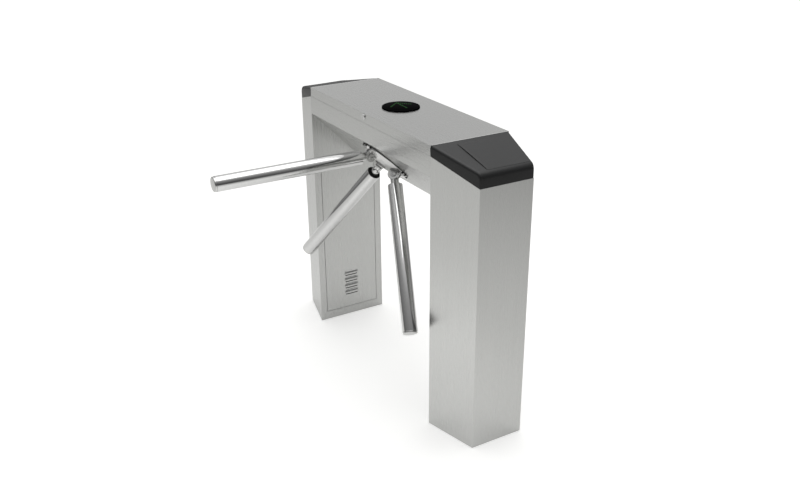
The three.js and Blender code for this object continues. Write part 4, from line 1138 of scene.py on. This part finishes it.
for side, sign in END_SIGNS:
    add_piece(f"lid_hem_{side}", lid_hem(sign), "lid", "polished_steel")


# Centring spring
def spring_coil():
    count = SPRING_TURNS * SPRING_STEPS
    rings = []
    for i in range(count + 1):
        angle = 2 * pi * i / SPRING_STEPS
        along = SPRING_LOW + SPRING_WIRE + (SPRING_HIGH - SPRING_LOW - 2 * SPRING_WIRE) * i / count
        points = []
        for j in range(SPRING_SIDES):
            lean = 2 * pi * j / SPRING_SIDES
            reach = SPRING_RADIUS + SPRING_WIRE * cos(lean)
            points.append((reach * cos(angle), along + SPRING_WIRE * sin(lean), reach * sin(angle)))
        rings.append(points)
    return skin(rings)


SPRING = ROTOR @ shift(*SPRING_PLACE)
add_piece("spring_coil", spring_coil(), "cabinet", "zinc_steel", SPRING, ["centring_spring"])


# Fasteners
def fastener_rings(radius, height, shares):
    """Rings of a fastener of this size."""
    return [ring(radius * reach, height * rise, FASTENER_SIDES, corners) for reach, rise, corners in shares]


def screw(height):
    """A screw's low round head with a hexagon socket."""
    return skin(fastener_rings(SCREW_RADIUS, height, SCREW_SHARES))


def bolt():
    """A bolt's hexagon head on its washer."""
    foot = ring(BOLT_RADIUS, WASHER_HEIGHT + FASTENER_GAP, FASTENER_SIDES, HEXAGON)
    head = skin([foot, *fastener_rings(BOLT_RADIUS, BOLT_HEIGHT, BOLT_SHARES)])
    washer = skin(fastener_rings(WASHER_RADIUS, WASHER_HEIGHT, WASHER_SHARES))
    return merged(washer, head)


for name, body, height in HINGE_ROWS:
    screws = []
    for i in range(HINGE_SCREWS):
        place = shift(HINGE_SPAN * (i / (HINGE_SCREWS - 1) - 0.5), HINGE_FACE, height)
        screws.append(moved(screw(HINGE_SCREW_HEIGHT), place @ turn(-RIGHT_ANGLE, "X")))
    add_piece(f"hinge_screws_{name}", merged(*screws), body, "zinc_steel")

for side, sign in END_SIGNS:
    bolts = []
    for x in (INNER_X + ANCHOR_INSET, OUTER_X - ANCHOR_INSET):
        reach = half_width(x) - PLATE_INSET - ANCHOR_INSET
        for y in (-reach, reach):
            bolts.append(moved(bolt(), shift(sign * x, CENTRE_Y + y, PLATE_TOP)))
    add_piece(f"anchor_bolts_{side}", merged(*bolts), "cabinet", "zinc_steel")

for name in ("controller_box", "power_supply"):
    low, high = (Vector(corner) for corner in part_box(name))
    screws = []
    for x in (low.x + BOX_SCREW_INSET, high.x - BOX_SCREW_INSET):
        for y in (low.y + BOX_SCREW_INSET, high.y - BOX_SCREW_INSET):
            screws.append(moved(screw(BOX_SCREW_HEIGHT), shift(x, y, high.z + FASTENER_GAP)))
    add_piece(f"{name}_screws", merged(*screws), "cabinet", "zinc_steel")


# Camera, lamp, floor and world
def add_camera():
    forward = Vector((
        cos(CAMERA_YAW) * cos(CAMERA_PITCH),
        sin(CAMERA_YAW) * cos(CAMERA_PITCH),
        sin(CAMERA_PITCH),
    ))
    right = Vector((sin(CAMERA_YAW), -cos(CAMERA_YAW), 0))
    up = right.cross(forward)
    basis = Matrix((right, up, -forward)).transposed() @ Matrix.Rotation(CAMERA_ROLL, 3, "Z")
    camera = bpy.data.objects.new(CAMERA_NAME, bpy.data.cameras.new(CAMERA_NAME))
    camera.matrix_world = Matrix.Translation(CAMERA_PLACE) @ basis.to_4x4()
    camera.data.lens = CAMERA_LENS
    camera.data.sensor_width = CAMERA_SENSOR
    camera.data.sensor_fit = "HORIZONTAL"
    camera.data.clip_start = CAMERA_NEAR
    camera.data.clip_end = CAMERA_FAR
    bpy.context.scene.collection.objects.link(camera)
    bpy.context.scene.camera = camera


def add_lamp():
    lamp = bpy.data.lights.new("overhead_lamp", "AREA")
    lamp.size = LAMP_SIZE
    lamp.energy = LAMP_POWER
    made = bpy.data.objects.new("overhead_lamp", lamp)
    made.location = LAMP_PLACE
    made.rotation_euler = (LAMP_PLACE - LAMP_AIM).to_track_quat("Z", "Y").to_euler()
    bpy.context.scene.collection.objects.link(made)


def distance_from(tree, place, middle):
    """How far a place is from a middle."""
    return add_node(tree, "VectorMath", {0: place, 1: middle}, operation="DISTANCE").outputs["Value"]


def floor_material():
    """A pale matt floor, darker far away, that still looks white to the camera but for the shadow."""
    material = bpy.data.materials.new("floor")
    material.use_nodes = True
    tree = material.node_tree
    tree.nodes.clear()
    place = add_node(tree, "TexCoord").outputs["Object"]
    share = spread(tree, distance_from(tree, place, FLOOR_MIDDLE), 0, 1, FLOOR_NEAR, FLOOR_FAR)
    glow = spread(tree, share, FLOOR_NEAR_GLOW, FLOOR_FAR_GLOW, 0, 1)
    squeezed = add_node(tree, "VectorMath", {0: place, 1: FLOOR_SQUEEZE}, operation="MULTIPLY").outputs[0]
    foot = distance_from(tree, squeezed, FOOT_MIDDLE)
    mirrored = spread(tree, foot, FOOT_GLOW, FLOOR_MIRROR, FOOT_NEAR, FOOT_FAR)
    path = add_node(tree, "LightPath").outputs
    seen = add_node(tree, "Math", {0: path["Is Camera Ray"], 1: glow}, operation="MULTIPLY").outputs[0]
    sum_inputs = {0: path["Is Glossy Ray"], 1: mirrored, 2: seen}
    strength = add_node(tree, "Math", sum_inputs, operation="MULTIPLY_ADD").outputs[0]
    light = add_node(tree, "Emission", {"Color": WHITE, "Strength": strength}).outputs[0]
    tone = between(tree, share, FLOOR_NEAR_TONE, FLOOR_FAR_TONE)
    matt = add_node(tree, "BsdfDiffuse", {"Color": tone}).outputs[0]
    both = add_node(tree, "AddShader", {0: light, 1: matt}).outputs[0]
    add_node(tree, "OutputMaterial", {"Surface": both})
    return material


def add_floor():
    half = FLOOR_SIZE / 2
    floor = as_object("floor", prism(rectangle((-half, -half), (half, half)), -FLOOR_DEPTH, 0))
    floor.data.materials.append(floor_material())


def set_world():
    """White to the camera. Everything else sees a sky that is brightest high up, behind the object."""
    world = bpy.data.worlds.new("studio")
    bpy.context.scene.world = world
    world.use_nodes = True
    tree = world.node_tree
    tree.nodes.clear()
    direction = add_node(tree, "TexCoord").outputs["Generated"]
    height = add_node(tree, "VectorMath", {0: direction, 1: SKY_POLE}, operation="DOT_PRODUCT")
    share = spread(tree, height.outputs["Value"], 0, 1, -1, 1)
    ramp = add_node(tree, "ValToRGB", {"Fac": share})
    stops = ramp.color_ramp.elements
    while len(stops) < len(SKY_STEPS):
        stops.new(0)
    for stop, (position, level) in zip(stops, SKY_STEPS):
        stop.position = (position + 1) / 2
    for stop, (position, level) in zip(stops, SKY_STEPS):
        stop.color = (level, level, level, 1)
    sky = add_node(tree, "Background", {"Color": ramp.outputs["Color"], "Strength": 1}).outputs[0]
    plain = add_node(tree, "Background", {"Color": WHITE, "Strength": 1}).outputs[0]
    camera = add_node(tree, "LightPath").outputs["Is Camera Ray"]
    mix = add_node(tree, "MixShader", {0: camera, 1: sky, 2: plain}).outputs[0]
    add_node(tree, "OutputWorld", {"Surface": mix})


add_camera()
add_lamp()
add_floor()
set_world()
bpy.context.scene.view_settings.view_transform = "Standard"
